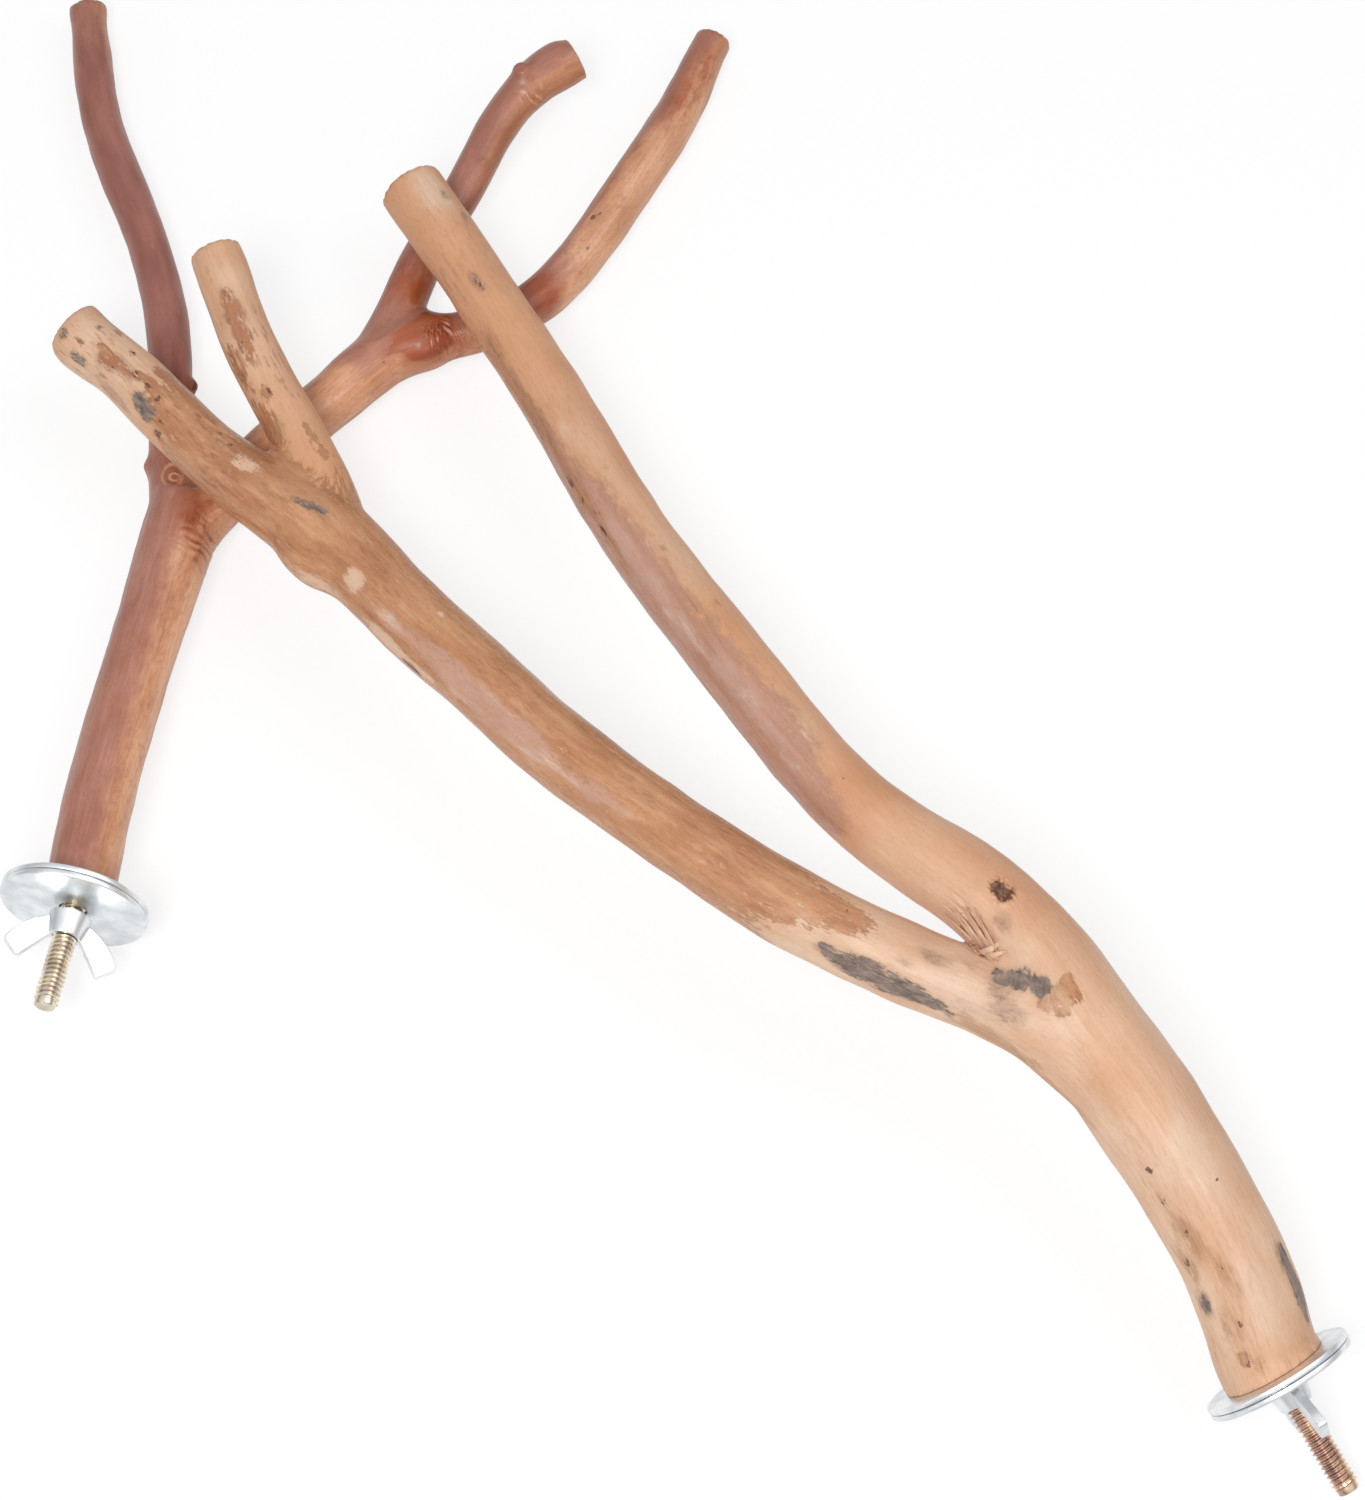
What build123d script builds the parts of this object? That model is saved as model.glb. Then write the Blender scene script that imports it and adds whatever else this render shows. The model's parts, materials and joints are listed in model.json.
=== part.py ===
from build123d import *
import os
from math import cos, radians, sin, sqrt, tan

# Two natural-branch perches for a bird cage, lying across each other on a table.
# Each is a peeled branch with a hanger bolt in its sawn butt, two wide washers that
# clamp the cage bars between them, and a wing nut. Millimetres and degrees, +Z up.

# Hanger bolt: quarter-inch machine thread outside the wood, wood-screw shank inside it
STUD_D = 6.35
THREAD_PITCH = 1.27
THREAD_FLANK_ANGLE = 30.0  # each flank from square to the stud
NOSE_STEP = 0.475          # the plain nose is this much smaller all round than the thread
NOSE_L = 1.6
NOSE_CHAMFER = 0.3
LIGHT_STUD_OUT = 34.0      # sawn butt to stud tip
DARK_STUD_OUT = 30.8
SHANK_D = 6.0
SHANK_L = 25.0
SHANK_POINT_L = 6.0
PILOT_CLEARANCE = 0.05     # all round, shank to wood

# Fender washers, two to a perch
WASHER_D = 38.1
WASHER_T = 1.5
WASHER_EDGE_R = 0.4        # rolled rim
WASHER_HOLE_CLEARANCE = 0.4
WASHER_GAP = 0.1           # butt to washer and washer to washer

# Wing nut: tapered hub with two swept wings
NUT_BORE_CLEARANCE = 0.08
NUT_BASE_WALL = 2.3
NUT_TOP_WALL = 1.0
NUT_HUB_H = 6.2
WING_T = 2.4
WING_ROOT_H = 0.9          # lower edge of the wing above the nut's base, at the hub
WING_REACH = 14.6          # axis to the wing's outer corner
WING_REACH_H = 10.8        # height of that corner above the nut's base
WING_TOP_REACH = 10.2      # axis to the wing's top corner
WING_TOP_H = 14.6
WING_BOW = 1.5             # how far the lower edge bows out
WING_CORNER_R = 0.9
LIGHT_NUT_GAP = 0.6        # outer washer to nut, as the nuts were left
DARK_NUT_GAP = 2.0
LIGHT_NUT_ANGLE = 95.0     # wing direction about the stud, from level
DARK_NUT_ANGLE = -16.0

# How the perches lie: which way each stud points, from -Y towards +X, and how far it rises
LIGHT_HEADING_ANGLE = 33.0
LIGHT_RISE_ANGLE = -19.0
DARK_HEADING_ANGLE = -10.5
DARK_RISE_ANGLE = 5.0
REST_GAP = 0.38            # wood to wood where the light perch lies over the dark one
REST_STEP = 3.0            # spacing of the places where that gap is looked for

# Limbs: X, Y, Z from the centre of the perch's sawn butt, and the radius of the wood there.
# The lists give the lines of the limbs, and a perch's length sets how large it grew.
LIGHT_LENGTH = 416.1       # butt to the farthest tip, straight
DARK_LENGTH = 316.4
LIMB_SECTION_STEP = 14.0   # spacing of the sections that shape a limb
LIGHT_TRUNK_AND_UPPER_ARM = [
    (0, 0, 0, 13.2),
    (-6.5, 15.5, 7.5, 12.8),
    (-16, 34, 15, 13),
    (-30, 57, 22, 13.9),
    (-46, 80.5, 27, 13.5),
    (-63.5, 105.5, 29, 11.5),
    (-77.5, 117.5, 29, 10.7),
    (-92, 128.5, 28.5, 10.2),
    (-109.5, 147.5, 27, 9.8),
    (-129, 177, 23.5, 9.5),
    (-153, 214, 18.5, 9.2),
    (-176, 259.5, 13, 9.1),
    (-197.5, 298, 9.2, 9.2),
    (-216, 329, 8, 9),
]
LIGHT_CROSSING = (-267, 245.5, 9.3, 9)      # where the lower arm lies over the dark perch
LIGHT_LOWER_ARM = [
    (-32, 56, 23, 10.1),
    (-46.5, 71, 26, 10.6),
    (-67, 83.5, 28, 10),
    (-91, 94.5, 28, 10),
    (-118.5, 110.5, 26.5, 9.9),
    (-143.5, 129, 24.5, 9.8),
    (-170, 151, 22, 9.7),
    (-194.5, 175.5, 19, 9.8),
    (-215.5, 198, 15.5, 10.3),
    (-235, 219, 12, 11.5),
    (-253.5, 233.5, 10.3, 10),
    LIGHT_CROSSING,
    (-283, 262.5, 9, 8.7),
    (-304.5, 283.5, 9, 8.1),
]
LIGHT_PRONG = [
    (-228.5, 216.5, 12, 7.4),
    (-238.5, 238.5, 12.5, 8.1),
    (-246, 253.5, 14, 7.4),
    (-256, 272.5, 16.5, 7.2),
    (-267, 300.5, 20, 7.1),
]
LIGHT_KNOTS = [(-239.5, 212, 11, 9.5)]
DARK_STEM = [
    (0, 0, 0, 8.8),
    (3, 24, -2, 9.1),
    (7.5, 52, -4, 8.9),
    (13.5, 81.5, -6, 9.3),
    (18.5, 106.5, -7.5, 10.2),
    (20.5, 119, -8, 9.5),
]
DARK_LEFT_TWIG = [
    (19, 104, -7.5, 8),
    (16, 128.5, -8.5, 6.5),
    (14.5, 147.5, -9, 6),
    (13, 167, -9.5, 5.9),
    (4.5, 202.5, -11, 5.8),
    (-5, 226.5, -12, 6),
    (-11, 243.5, -12.5, 5.7),
    (-17.5, 282, -13.3, 5.5),
]
DARK_RIGHT_BRANCH = [
    (15, 96, -7.5, 7.2),
    (25.5, 114.5, -8, 8.2),
    (37, 128.5, -8.5, 8),
    (48, 140.5, -8.5, 7.7),
    (59.5, 152, -8.5, 7.7),
    (69.5, 162, -8.5, 8.5),
    (79.5, 168, -8, 8.6),
    (88.5, 170, -8, 6.8),
]
DARK_MIDDLE_TWIG = [
    (69, 162.5, -8.5, 6.3),
    (77, 181.5, -7.5, 6.5),
    (82, 195.5, -7, 5.9),
    (89, 209, -6, 5.5),
    (95.5, 222.5, -4.5, 5.4),
    (101.5, 235, -3, 5.6),
    (106.5, 243, -1.5, 6.2),
    (112.5, 249, -0.5, 6.4),
    (123.5, 255, 1, 5.6),
]
DARK_RIGHT_TWIG = [
    (73.5, 166, -8.5, 6.2),
    (89.5, 170.5, -8.5, 6.7),
    (103, 175.5, -9, 6.6),
    (112.5, 182, -9.5, 6.5),
    (121, 191.5, -10.2, 6.5),
    (136.5, 217.5, -11.6, 6.6),
    (150.5, 243.5, -12.3, 6.4),
    (162, 271.5, -13.4, 5.4),
]
DARK_CROSSING = (28, 123.9, -8.2, 8.1)      # where the light perch lies over this one

WASHER_STACK = 2 * (WASHER_GAP + WASHER_T)
NUT_BORE_R = STUD_D / 2 + NUT_BORE_CLEARANCE
UP = Vector(0, 0, 1)


def stud_direction(heading, rise):
    level = cos(radians(rise))
    return Vector(sin(radians(heading)) * level, -cos(radians(heading)) * level, sin(radians(rise)))


def at_length(lines, length):
    """The lines sized so that the farthest one ends at this length from the butt."""
    reach = max(Vector(x, y, z).length for line in lines for x, y, z, radius in line)
    size = length / reach
    return [[(x * size, y * size, z * size, radius) for x, y, z, radius in line] for line in lines]


def limb_rounds(stations, root_direction, spacing):
    """Evenly spaced rounds of a limb: the centre, the way it runs and the radius of the wood."""
    points = [Vector(x, y, z) for x, y, z, radius in stations]
    radii = [radius for x, y, z, radius in stations]
    root = root_direction or points[1] - points[0]
    line = Spline(*points, tangents=(root, points[-1] - points[-2]))
    marks = [line.param_at_point(point) for point in points]
    steps = max(3, round(line.length / spacing))
    rounds = []
    for step in range(steps + 1):
        along = step / steps
        span = max([1] + [i for i in range(1, len(marks)) if marks[i - 1] < along])
        share = min(1, (along - marks[span - 1]) / (marks[span] - marks[span - 1]))
        eased = share * share * (3 - 2 * share)
        radius = radii[span - 1] + (radii[span] - radii[span - 1]) * eased
        rounds.append((line.position_at(along), line.tangent_at(along), radius))
    return rounds


def limb(stations, root_direction=None):
    """A round limb on a smooth line through its stations."""
    sections = []
    for centre, direction, radius in limb_rounds(stations, root_direction, LIMB_SECTION_STEP):
        face = Plane(origin=centre, x_dir=UP.cross(direction), z_dir=direction)
        sections.append(face * Circle(radius))
    return loft(sections)


def resting_height(upper, lower, offset):
    """Height of the upper perch's butt over the lower perch's, with its limbs lying on the other's."""
    heights = []
    below = [(at - offset, r) for line in lower for at, way, r in limb_rounds(line, None, REST_STEP)]
    for line in upper:
        for at, way, radius in limb_rounds(line, None, REST_STEP):
            for low, low_radius in below:
                reach = radius + low_radius + REST_GAP
                across = (at.X - low.X) ** 2 + (at.Y - low.Y) ** 2
                if across < reach**2:
                    heights.append(low.Z + sqrt(reach**2 - across) - at.Z)
    return max(heights)


def turned(profile):
    """A turned piece about Z, from a closed outline of radius and height pairs."""
    outline = Polyline(*[(radius, 0, height) for radius, height in profile], close=True)
    return revolve(make_face(outline), axis=Axis.Z)


def shank_outline(clearance, top):
    """Half the outline of the wood-screw shank, from its point up to a height."""
    radius = SHANK_D / 2 + clearance
    point = -SHANK_L - clearance
    return [(0, point), (radius, point + SHANK_POINT_L), (radius, top)]


def hanger_bolt(stud_out):
    """Butt face at height zero: the wood-screw shank below it, the threaded stud above."""
    crest_r = STUD_D / 2
    crest_w = THREAD_PITCH / 8
    root_w = THREAD_PITCH / 4
    flank_w = (THREAD_PITCH - crest_w - root_w) / 2
    root_r = crest_r - flank_w / tan(radians(THREAD_FLANK_ANGLE))
    nose_r = crest_r - NOSE_STEP
    thread_end = stud_out - NOSE_L
    turns = int(thread_end / THREAD_PITCH)
    outline = shank_outline(0, 0) + [(crest_r, 0)]
    for turn in range(turns):
        crest_end = thread_end - (turns - turn) * THREAD_PITCH + crest_w
        outline += [
            (crest_r, crest_end),
            (root_r, crest_end + flank_w),
            (root_r, crest_end + flank_w + root_w),
            (crest_r, crest_end + 2 * flank_w + root_w),
        ]
    outline[-1] = (nose_r, thread_end)
    outline += [(nose_r, stud_out - NOSE_CHAMFER), (nose_r - NOSE_CHAMFER, stud_out), (0, stud_out)]
    return turned(outline)


def washer():
    ring = Circle(WASHER_D / 2) - Circle(STUD_D / 2 + WASHER_HOLE_CLEARANCE)
    disc = extrude(ring, WASHER_T)
    rims = disc.edges().filter_by(GeomType.CIRCLE).sort_by(SortBy.RADIUS)[-2:]
    return fillet(rims, WASHER_EDGE_R)


def wing():
    """One wing, standing in the XZ plane with its root inside the hub's wall."""
    root_r = NUT_BORE_R + NUT_TOP_WALL / 2
    low = Vector(root_r, 0, WING_ROOT_H)
    corner = Vector(WING_REACH, 0, WING_REACH_H)
    top = Vector(WING_TOP_REACH, 0, WING_TOP_H)
    high = Vector(root_r, 0, NUT_HUB_H)
    edge = (corner - low).normalized()
    bow = (low + corner) * 0.5 + Vector(edge.Z, 0, -edge.X) * WING_BOW
    outline = ThreePointArc(low, bow, corner) + Polyline(corner, top, high, low)
    face = make_face(outline)
    tips = face.vertices().sort_by(Axis.X)[-2:]
    return extrude(fillet(tips, WING_CORNER_R), WING_T / 2, both=True)


def wing_nut():
    base_r = NUT_BORE_R + NUT_BASE_WALL
    top_r = NUT_BORE_R + NUT_TOP_WALL
    hub = turned([(NUT_BORE_R, 0), (base_r, 0), (top_r, NUT_HUB_H), (NUT_BORE_R, NUT_HUB_H)])
    return hub + wing() + Rot(0, 0, 180) * wing()


def perch(name, limbs, knots, heading, rise, stud_out, nut_gap, nut_turn):
    """The pieces of one perch, with the centre of its sawn butt at the origin."""
    stud = stud_direction(heading, rise)
    seat = Plane(origin=(0, 0, 0), x_dir=UP.cross(stud), z_dir=stud)
    branch = limb(limbs[0], root_direction=-stud)
    for stations in limbs[1:]:
        branch += limb(stations)
    for x, y, z, radius in knots:
        branch += Pos(x, y, z) * Rot(90, 0, 0) * Sphere(radius)
    branch -= seat * turned(shank_outline(PILOT_CLEARANCE, WASHER_GAP) + [(0, WASHER_GAP)])
    nut_base = WASHER_STACK + nut_gap
    return {
        name + "_branch": branch,
        name + "_hanger_bolt": seat * hanger_bolt(stud_out),
        name + "_inner_washer": seat * Pos(0, 0, WASHER_GAP) * washer(),
        name + "_outer_washer": seat * Pos(0, 0, WASHER_STACK - WASHER_T) * washer(),
        name + "_wing_nut": seat * Pos(0, 0, nut_base) * Rot(0, 0, nut_turn) * wing_nut(),
    }


def seat_height(rise):
    """Height of the butt's centre when the washers stand on the table."""
    overhang = WASHER_STACK if rise < 0 else WASHER_GAP
    return WASHER_D / 2 * cos(radians(rise)) - overhang * sin(radians(rise))


*light_limbs, light_knots, light_crossing = at_length(
    [LIGHT_TRUNK_AND_UPPER_ARM, LIGHT_LOWER_ARM, LIGHT_PRONG, LIGHT_KNOTS, [LIGHT_CROSSING]],
    LIGHT_LENGTH,
)
*dark_limbs, dark_crossing = at_length(
    [DARK_STEM, DARK_LEFT_TWIG, DARK_RIGHT_BRANCH, DARK_MIDDLE_TWIG, DARK_RIGHT_TWIG, [DARK_CROSSING]],
    DARK_LENGTH,
)
light = perch(
    "light",
    light_limbs,
    light_knots,
    LIGHT_HEADING_ANGLE,
    LIGHT_RISE_ANGLE,
    LIGHT_STUD_OUT,
    LIGHT_NUT_GAP,
    LIGHT_NUT_ANGLE,
)
dark = perch(
    "dark",
    dark_limbs,
    [],
    DARK_HEADING_ANGLE,
    DARK_RISE_ANGLE,
    DARK_STUD_OUT,
    DARK_NUT_GAP,
    DARK_NUT_ANGLE,
)
dark_seat = Vector(0, 0, seat_height(DARK_RISE_ANGLE))
light_over = light_crossing[0]
dark_under = dark_crossing[0]
offset = Vector(dark_under[0] - light_over[0], dark_under[1] - light_over[1], 0)
light_seat = dark_seat + offset + UP * resting_height(light_limbs, dark_limbs, offset)
nodes = {name: Pos(*light_seat) * shape for name, shape in light.items()}
nodes |= {name: Pos(*dark_seat) * shape for name, shape in dark.items()}

# The set stands on Z = 0, centred over the origin
box = Compound(list(nodes.values())).bounding_box()
to_origin = Vector(-box.center().X, -box.center().Y, -box.min.Z)
os.makedirs("parts", exist_ok=True)
for name, shape in nodes.items():
    export_step(Pos(*to_origin) * shape, f"parts/{name}.step")

for name, seat, heading, rise in (
    ("light", light_seat, LIGHT_HEADING_ANGLE, LIGHT_RISE_ANGLE),
    ("dark", dark_seat, DARK_HEADING_ANGLE, DARK_RISE_ANGLE),
):
    place = seat + to_origin
    stud = stud_direction(heading, rise)
    print(name, "butt", [round(v, 4) for v in place], "stud", [round(v, 6) for v in stud])
print("size", [round(v, 3) for v in box.size])
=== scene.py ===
import bpy
import json
import math
import numpy as np
from mathutils import Matrix, Vector, noise


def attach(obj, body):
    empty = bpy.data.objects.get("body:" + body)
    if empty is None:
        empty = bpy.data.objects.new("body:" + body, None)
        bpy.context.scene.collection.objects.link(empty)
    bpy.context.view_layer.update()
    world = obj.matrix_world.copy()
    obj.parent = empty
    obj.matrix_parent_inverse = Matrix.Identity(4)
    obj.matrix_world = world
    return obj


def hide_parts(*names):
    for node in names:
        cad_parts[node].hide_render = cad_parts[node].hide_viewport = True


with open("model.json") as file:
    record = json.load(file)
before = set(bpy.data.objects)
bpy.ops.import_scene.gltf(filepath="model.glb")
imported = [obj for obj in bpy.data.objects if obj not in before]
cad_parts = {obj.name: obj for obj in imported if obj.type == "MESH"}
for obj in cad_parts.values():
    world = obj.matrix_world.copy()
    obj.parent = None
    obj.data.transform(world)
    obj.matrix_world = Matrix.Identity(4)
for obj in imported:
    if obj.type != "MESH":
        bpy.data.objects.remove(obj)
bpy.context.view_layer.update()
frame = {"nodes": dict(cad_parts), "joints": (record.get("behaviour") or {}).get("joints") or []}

# Light branch: a forked hardwood limb, stripped of its bark and rubbed smooth by hand.
# It is sawn square at the butt and at its three tips, and a hanger bolt is driven into the butt.
WASHER_T = 0.0015
WASHER_GAP = 0.0001


def seat_of(perch):
    """Where a perch's sawn butt is: its centre, with Z out along the stud and X level."""
    spin = next(j for j in frame["joints"] if j["name"] == perch + "_inner_washer_spin")
    out = Vector(spin["axis"]).normalized()
    level = Vector((0, 0, 1)).cross(out).normalized()
    seat = Matrix((level, out.cross(level), out)).transposed().to_4x4()
    seat.translation = Vector(spin["pos_m"]) - out * (WASHER_GAP + WASHER_T / 2)
    return seat


LIGHT_BUTT = seat_of("light").translation
LIGHT_SKIN = 0.00095
LIGHT_LIMBS = [
    [(0, 0, 0, 13.2), (-6.5, 15.5, 7.5, 12.8), (-16, 34, 15, 13), (-30, 57, 22, 13.9), (-46, 80.5, 27, 13.5),
     (-63.5, 105.5, 29, 11.5), (-92, 128.5, 28.5, 10.2), (-129, 177, 23.5, 9.5), (-176, 259.5, 13, 9.1),
     (-216, 329, 8, 9)],
    [(-32, 56, 23, 10.1), (-46.5, 71, 26, 10.6), (-67, 83.5, 28, 10), (-118.5, 110.5, 26.5, 9.9),
     (-170, 151, 22, 9.7), (-215.5, 198, 15.5, 10.3), (-235, 219, 12, 11.5), (-267, 245.5, 9.3, 9),
     (-304.5, 283.5, 9, 8.1)],
    [(-228.5, 216.5, 12, 7.4), (-238.5, 238.5, 12.5, 8.1), (-256, 272.5, 16.5, 7.2), (-267, 300.5, 20, 7.1)],
]


def pick(*pieces):
    """Selects these pieces alone, the last of them active."""
    bpy.ops.object.select_all(action="DESELECT")
    for piece in pieces:
        piece.select_set(True)
    bpy.context.view_layer.objects.active = pieces[-1]


def even_skin(node_name, piece_name, skin):
    """A node's solid as one even skin of small faces, its edges eased as by rubbing or plating."""
    mesh = frame["nodes"][node_name].data.copy()
    mesh.materials.clear()
    piece = bpy.data.objects.new(piece_name, mesh)
    bpy.context.scene.collection.objects.link(piece)
    pick(piece)
    bpy.ops.object.mode_set(mode="EDIT")
    bpy.ops.mesh.select_all(action="SELECT")
    bpy.ops.mesh.remove_doubles(threshold=1e-6)
    bpy.ops.object.mode_set(mode="OBJECT")
    cover = piece.modifiers.new("cover", "REMESH")
    cover.mode = "VOXEL"
    cover.voxel_size = skin
    bpy.ops.object.modifier_apply(modifier=cover.name)
    rub = piece.modifiers.new("rub", "SMOOTH")
    rub.factor = 0.5
    rub.iterations = 5
    bpy.ops.object.modifier_apply(modifier=rub.name)
    bpy.ops.object.shade_smooth()
    return piece


def points_of(piece):
    points = np.empty(len(piece.data.vertices) * 3)
    piece.data.vertices.foreach_get("co", points)
    return points.reshape(-1, 3)


def place_points(piece, points):
    piece.data.vertices.foreach_set("co", points.ravel())
    piece.data.update()


def normals_of(piece):
    normals = np.empty(len(piece.data.vertices) * 3)
    piece.data.vertex_normals.foreach_get("vector", normals)
    return normals.reshape(-1, 3)


def refine(piece, places):
    """Makes the skin's faces three times finer round small details: place in millimetres and reach."""
    centres = np.array([tuple(face.center) for face in piece.data.polygons]) * 1000
    fine = np.zeros(len(centres), bool)
    for x, y, z, reach in places:
        fine |= np.linalg.norm(centres - (x, y, z), axis=1) < reach
    bpy.ops.object.mode_set(mode="EDIT")
    bpy.ops.mesh.select_mode(type="FACE")
    bpy.ops.mesh.select_all(action="DESELECT")
    bpy.ops.object.mode_set(mode="OBJECT")
    piece.data.polygons.foreach_set("select", fine)
    bpy.ops.object.mode_set(mode="EDIT")
    bpy.ops.mesh.subdivide(number_cuts=2)
    bpy.ops.mesh.vertices_smooth(factor=0.5, repeat=6)
    bpy.ops.mesh.select_mode(type="VERT")
    bpy.ops.object.mode_set(mode="OBJECT")


def ease_forks(piece, forks):
    """Rounds the hollows where limbs part: place in millimetres and how far round it the wood eases."""
    skin_points = points_of(piece)
    group = piece.vertex_groups.new(name="forks")
    share = np.zeros(len(skin_points))
    for x, y, z, reach in forks:
        away = np.linalg.norm(skin_points * 1000 - (x, y, z), axis=1)
        share = np.maximum(share, np.exp(-((away / reach) ** 2)))
    for step in range(1, 11):
        chosen = np.nonzero((share > (step - 0.5) / 10) & (share <= (step + 0.5) / 10))[0]
        group.add([int(i) for i in chosen], step / 10, "REPLACE")
    ease = piece.modifiers.new("ease", "SMOOTH")
    ease.vertex_group = group.name
    ease.factor = 0.6
    ease.iterations = 60
    bpy.ops.object.modifier_apply(modifier=ease.name)
    piece.vertex_groups.clear()


def limb_line(stations, butt):
    """A limb's centre line every 2 mm: places, the way it runs, and the radius of the wood."""
    given = np.array(stations, float) / 1000
    given[:, :3] += np.array(butt)
    along = np.concatenate([[0], np.cumsum(np.linalg.norm(np.diff(given[:, :3], axis=0), axis=1))])
    marks = np.arange(0, along[-1], 0.002)
    line = np.stack([np.interp(marks, along, given[:, k]) for k in range(4)], 1)
    for _ in range(12):
        line[1:-1] = (line[:-2] + 2 * line[1:-1] + line[2:]) / 4
    way = np.gradient(line[:, :3], axis=0)
    way /= np.linalg.norm(way, axis=1)[:, None]
    return line[:, :3], way, marks, line[:, 3]


def grain_of(points, limbs, butt):
    """Across, up and along the grain at each point, the limbs' grain melting together at a fork."""
    lines = [limb_line(stations, butt) for stations in limbs]
    grain = np.zeros((len(points), 3))
    total = np.zeros(len(points))
    trunk, _, trunk_marks, _ = lines[0]
    for place, way, marks, radius in lines:
        root = np.argmin(np.linalg.norm(trunk - place[0], axis=1))
        start = trunk_marks[root] if place is not trunk else 0
        for low in range(0, len(points), 4000):
            block = points[low:low + 4000]
            near = np.argmin(np.linalg.norm(block[:, None] - place[None], axis=2), axis=1)
            off = block - place[near]
            side = np.cross((0, 0, 1), way[near])
            side /= np.linalg.norm(side, axis=1)[:, None]
            lift = np.cross(way[near], side)
            here = np.stack([
                (off * side).sum(1),
                (off * lift).sum(1),
                start + marks[near] + (off * way[near]).sum(1),
            ], 1)
            weight = np.exp(-5 * np.linalg.norm(off, axis=1) / radius[near])
            grain[low:low + 4000] += here * weight[:, None]
            total[low:low + 4000] += weight
    return grain / total[:, None]


def spots(points, grain, marks):
    """How strongly each point lies in a set of marks: each is a place in millimetres, a half length along
    the grain, a half width and a strength."""
    cover = np.zeros(len(points))
    for x, y, z, along, across, strength in marks:
        at = np.array((x, y, z)) / 1000
        square = ((points - at) ** 2).sum(1)
        run = grain[:, 2] - grain[np.argmin(square), 2]
        off = np.maximum(square - run**2, 0)
        cover += 1.4 * strength * np.exp(-((run / along * 1000) ** 2) - off / across**2 * 1e6)
    return np.minimum(cover, 1.5)


def store(piece, name, kind, columns):
    """Keeps values for every point of a piece under a name that its material reads."""
    field = piece.data.attributes.new(name, kind, "POINT")
    key = "vector" if kind == "FLOAT_VECTOR" else "color"
    field.data.foreach_set(key, np.stack(columns, 1).astype(np.float32).ravel())


def swell(points, size, seed):
    """Slow hills and hollows from -1 to 1, about this far apart in metres."""
    shift = Vector((seed, 2.7 * seed, -1.3 * seed))
    return np.array([noise.noise(Vector(p) / size + shift) for p in points])


# Where each tip was sawn off and which way the cut faces
LIGHT_TIPS = [
    ((-0.0669, 0.1410, 0.0270), (-0.51, 0.86, -0.03)),
    ((-0.1554, 0.0955, 0.0280), (-0.72, 0.70, 0.0)),
    ((-0.1179, 0.1125, 0.0390), (-0.36, 0.92, 0.11)),
]
# How far a cut's face reaches from its middle, and how far the rounded end does that is sawn
CUT_REACH = 0.014
END_REACH = 0.018


def sawn(piece, tips):
    """The flat saw cuts at the tips: 1 on a cut, 0 on the limb's skin."""
    skin_points, skin_normals = points_of(piece), normals_of(piece)
    cut = np.zeros(len(skin_points))
    for at, way in tips:
        way = np.array(way) / np.linalg.norm(way)
        facing = np.clip((skin_normals @ way - 0.55) / 0.3, 0, 1)
        near = np.linalg.norm(skin_points - np.array(at), axis=1) < CUT_REACH
        cut = np.maximum(cut, facing * near)
    return cut


LIGHT_CUT_DEPTH = 0.001
LIGHT_BUTT_DEPTH = 0.0009
LIGHT_KNOT = (-90, 24, 30)
KNOT_REACH = 28
KNOT_LEFT = 0.35
KNOT_SIDE = (-0.6, -0.79, -0.15)
KNOT_HOLLOWS = [(-84, 14, 28, 16), (-94, 22, 26, 12)]
SNAG = (84.7, -81, 59.3)
TEAR = (77.5, -89, 53)
LIGHT_FORKS = [(-90, 24, 30, 15), (-84, 14, 28, 15), (-92, 46, 36, 10), (88, -108, 45, 14)]
CROSSINGS = [(-118, 57, 22), (-47, 107, 22)]
CROSSING_REACH = 18


def at_crossings(points):
    """1 where the two perches rest on each other, fading to 0 about 35 mm away."""
    near = [np.exp(-((np.linalg.norm(points * 1000 - at, axis=1) / CROSSING_REACH) ** 2)) for at in CROSSINGS]
    return np.max(near, axis=0)


def saw(points, normals, at, way, depth):
    """Draws the rounded edge of an end out to a flat saw cut."""
    way = np.array(way) / np.linalg.norm(way)
    near = np.linalg.norm(points - np.array(at), axis=1) < END_REACH
    high = np.max((points @ way)[near & (normals @ way > 0.9)])
    down = high - points @ way
    drawn = np.where(near & (down < 2 * depth), np.maximum(0, 2 * (down - depth)), down)
    return points + (down - drawn)[:, None] * way


def carve(piece, points, normals, dent, cuts, reach):
    """Raises or lowers the skin by a dent at each point, and saws its ends flat: place, way and depth."""
    for at, way, depth in cuts:
        ends = np.linalg.norm(points - np.array(at), axis=1) < reach
        dent[ends & (normals @ np.array(way) > 0.8)] = 0
    points = points + normals * dent[:, None]
    for at, way, depth in cuts:
        points = saw(points, normals, at, way, depth)
    place_points(piece, points)
    return points


light_branch = even_skin("light_branch", "light_branch_wood", LIGHT_SKIN)
refine(light_branch, [(*SNAG, 6), (*TEAR, 10)])
ease_forks(light_branch, LIGHT_FORKS)
points = points_of(light_branch)
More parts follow.
